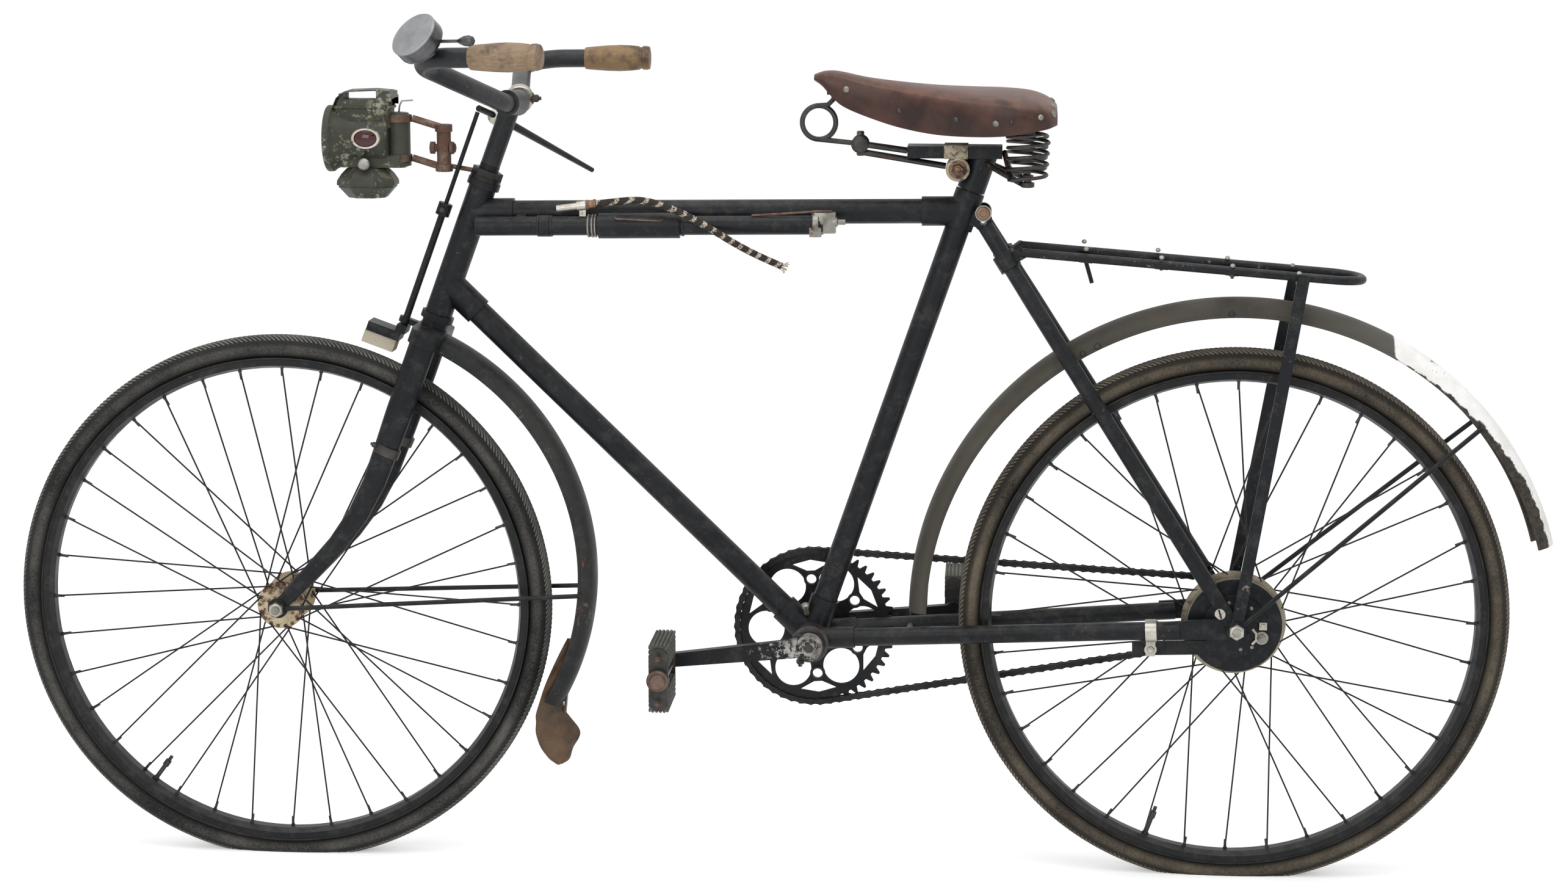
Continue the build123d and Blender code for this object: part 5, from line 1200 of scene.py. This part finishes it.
rows = []
for k in range(flap_steps + 1):
    face, back = (flap_row(k / flap_steps, sign * flap_half_thick) for sign in SIDES)
    rows.append(face + list(reversed(back)))
shape.solid(rows)
shape.block(flap_top + flap_down * 2 * MM, flap_down, LEFT, (60, 12, 3))
shape.piece("mud_flap_leather", "steering", "flap_leather", "flap", ["mud_flap"], 40)
for drop in (-20, -9):
    for sign in SIDES:
        way = flap_down.cross(LEFT) * sign
        shape.screw(flap_top + flap_down * drop * MM + way * 1.4 * MM, way, 3.4, 2)
shape.piece("mud_flap_rivets", "steering", "rusty_steel", "steel")

# Pump hose: a round curve along the route of its solid
hose_r = 4.5 * MM
hose_table = (
    # behind the head along the pump, out to the left, up
    (151, 3, 26.6),
    (181, 4, 30.2),
    (217, 9, 33.7),
    (245, 15, 27.3),
    (275, 21, 15.9),
    (307, 25, -1.6),
    (337, 27, -20.0),
    (368, 26, -36.5),
    (396, 24, -48.9),
)
hose_route = [on_pump(*p) for p in hose_table]
hose_curve = bpy.data.curves.new("pump_hose_cover", "CURVE")
hose_curve.dimensions = "3D"
hose_curve.bevel_depth = hose_r
hose_curve.bevel_resolution = 4
hose_curve.resolution_u = 10
hose_curve.use_fill_caps = True
spline = hose_curve.splines.new("NURBS")
spline.points.add(len(hose_route) - 1)
for point, place in zip(spline.points, hose_route):
    point.co = (*place, 1)
spline.order_u = 3
spline.use_endpoint_u = True
hose_curve.materials.append(finishes["hose_braid"])
hose = bpy.data.objects.new("pump_hose_cover", hose_curve)
bpy.context.collection.objects.link(hose)
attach(hose, "frame")
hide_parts("pump_hose")
hose_way = (hose_route[1] - hose_route[0]).normalized()
ferrule_profile = ((0, 5.4), (0.6, 6.4), (4, 6.4), (4.6, 5.6), (10, 5.6), (10.6, 6.2), (13, 6.2), (13.6, 4.8))
shape.lathe(hose_route[0] - hose_way * 3 * MM, hose_way, ferrule_profile, 20)
ferrule = shape.piece("hose_ferrule", "frame", "copper", "brass")
end_way = (hose_route[-1] - hose_route[-2]).normalized()
side, other = around(end_way)
for k, a in enumerate(turns(11)):
    out = side * cos(a) + other * sin(a)
    start = hose_route[-1] - end_way * 2 * MM + out * (1.2 + 2.2 * (k % 2)) * MM
    bend = start + (end_way * 5 + out * 1.5) * MM
    shape.tube([start, bend, start + (end_way * (8 + k % 3) + out * (3 + k % 4)) * MM], 0.55, 6)
frayed = shape.piece("hose_threads", "frame", "pale_thread", "hose")

# Floor, light and camera
image_width = 2569
focal_pixels = 4959
camera_yaw, camera_pitch, camera_roll = radians(4.03), radians(9.85), radians(0.22)
camera_place = at(306, 3796, 876)
floor_half = 30
world_light, floor_glow = 0.75, 0.34


def shown_share(tree, low, high):
    """A value that is high for rays that show the background, seen straight, mirrored or through glass."""
    path = add_node(tree, "LightPath").outputs
    shown = path["Is Camera Ray"]
    for kind in ("Is Glossy Ray", "Is Transmission Ray"):
        shown = add_node(tree, "Math", {0: shown, 1: path[kind]}, operation="MAXIMUM").outputs["Value"]
    return add_node(tree, "MapRange", {"Value": shown, "To Min": low, "To Max": high}).outputs["Result"]


def make_floor():
    """A plain pale floor that looks white and keeps the shadow."""
    mesh = bpy.data.meshes.new("floor")
    square = [(x * floor_half, y * floor_half, floor_z) for x, y in ((-1, -1), (1, -1), (1, 1), (-1, 1))]
    mesh.from_pydata(square, [], [(0, 1, 2, 3)])
    floor = bpy.data.objects.new("floor", mesh)
    bpy.context.collection.objects.link(floor)
    f = Finish("floor_white")
    f.set(Base_Color=(0.9, 0.9, 0.9, 1), Roughness=0.9, Specular_IOR_Level=0.1)
    f.set(Emission_Color=(1, 1, 1, 1), Emission_Strength=shown_share(f.tree, 0.0, floor_glow))
    mesh.materials.append(f.material)
    floor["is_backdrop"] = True


def make_world():
    """White surroundings: white to look at, a plain level to light with."""
    world = bpy.data.worlds.new("studio")
    bpy.context.scene.world = world
    world.use_nodes = True
    tree = world.node_tree
    background = tree.nodes["Background"]
    background.inputs["Color"].default_value = (1, 1, 1, 1)
    tree.links.new(shown_share(tree, world_light, 1.0), background.inputs["Strength"])


def area_light(name, place, target, size, energy):
    """A softbox that looks at a target."""
    data = bpy.data.lights.new(name, "AREA")
    data.shape = "RECTANGLE"
    data.size, data.size_y = size
    data.energy = energy
    light = bpy.data.objects.new(name, data)
    light.location = place
    light.rotation_mode = "QUATERNION"
    light.rotation_quaternion = (Vector(target) - Vector(place)).to_track_quat("-Z", "Y")
    bpy.context.collection.objects.link(light)


def make_camera():
    """The photograph's camera, fitted to both wheels."""
    data = bpy.data.cameras.new("camera")
    data.sensor_width = 36
    data.lens = focal_pixels / image_width * data.sensor_width
    data.clip_end = 100
    camera = bpy.data.objects.new("camera", data)
    square = Matrix(((-1, 0, 0), (0, 0, -1), (0, -1, 0)))
    turn = Matrix.Rotation(camera_roll, 3, "Z") @ Matrix.Rotation(camera_pitch, 3, "X")
    turn = turn @ Matrix.Rotation(camera_yaw, 3, "Y") @ square
    right, down, depth = turn
    camera.matrix_world = Matrix.Translation(camera_place) @ Matrix((right, -down, -depth)).transposed().to_4x4()
    bpy.context.collection.objects.link(camera)
    bpy.context.scene.camera = camera


make_floor()
make_world()
area_light("overhead", (0.2, 0.6, 2.4), (0.2, 0, -0.5), (3.5, 2.2), 45)
area_light("front_fill", (1.2, 3.2, 0.8), (0.2, 0, -0.5), (1.6, 1.6), 25)
make_camera()
bpy.context.scene.view_settings.view_transform = "Standard"

low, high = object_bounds()
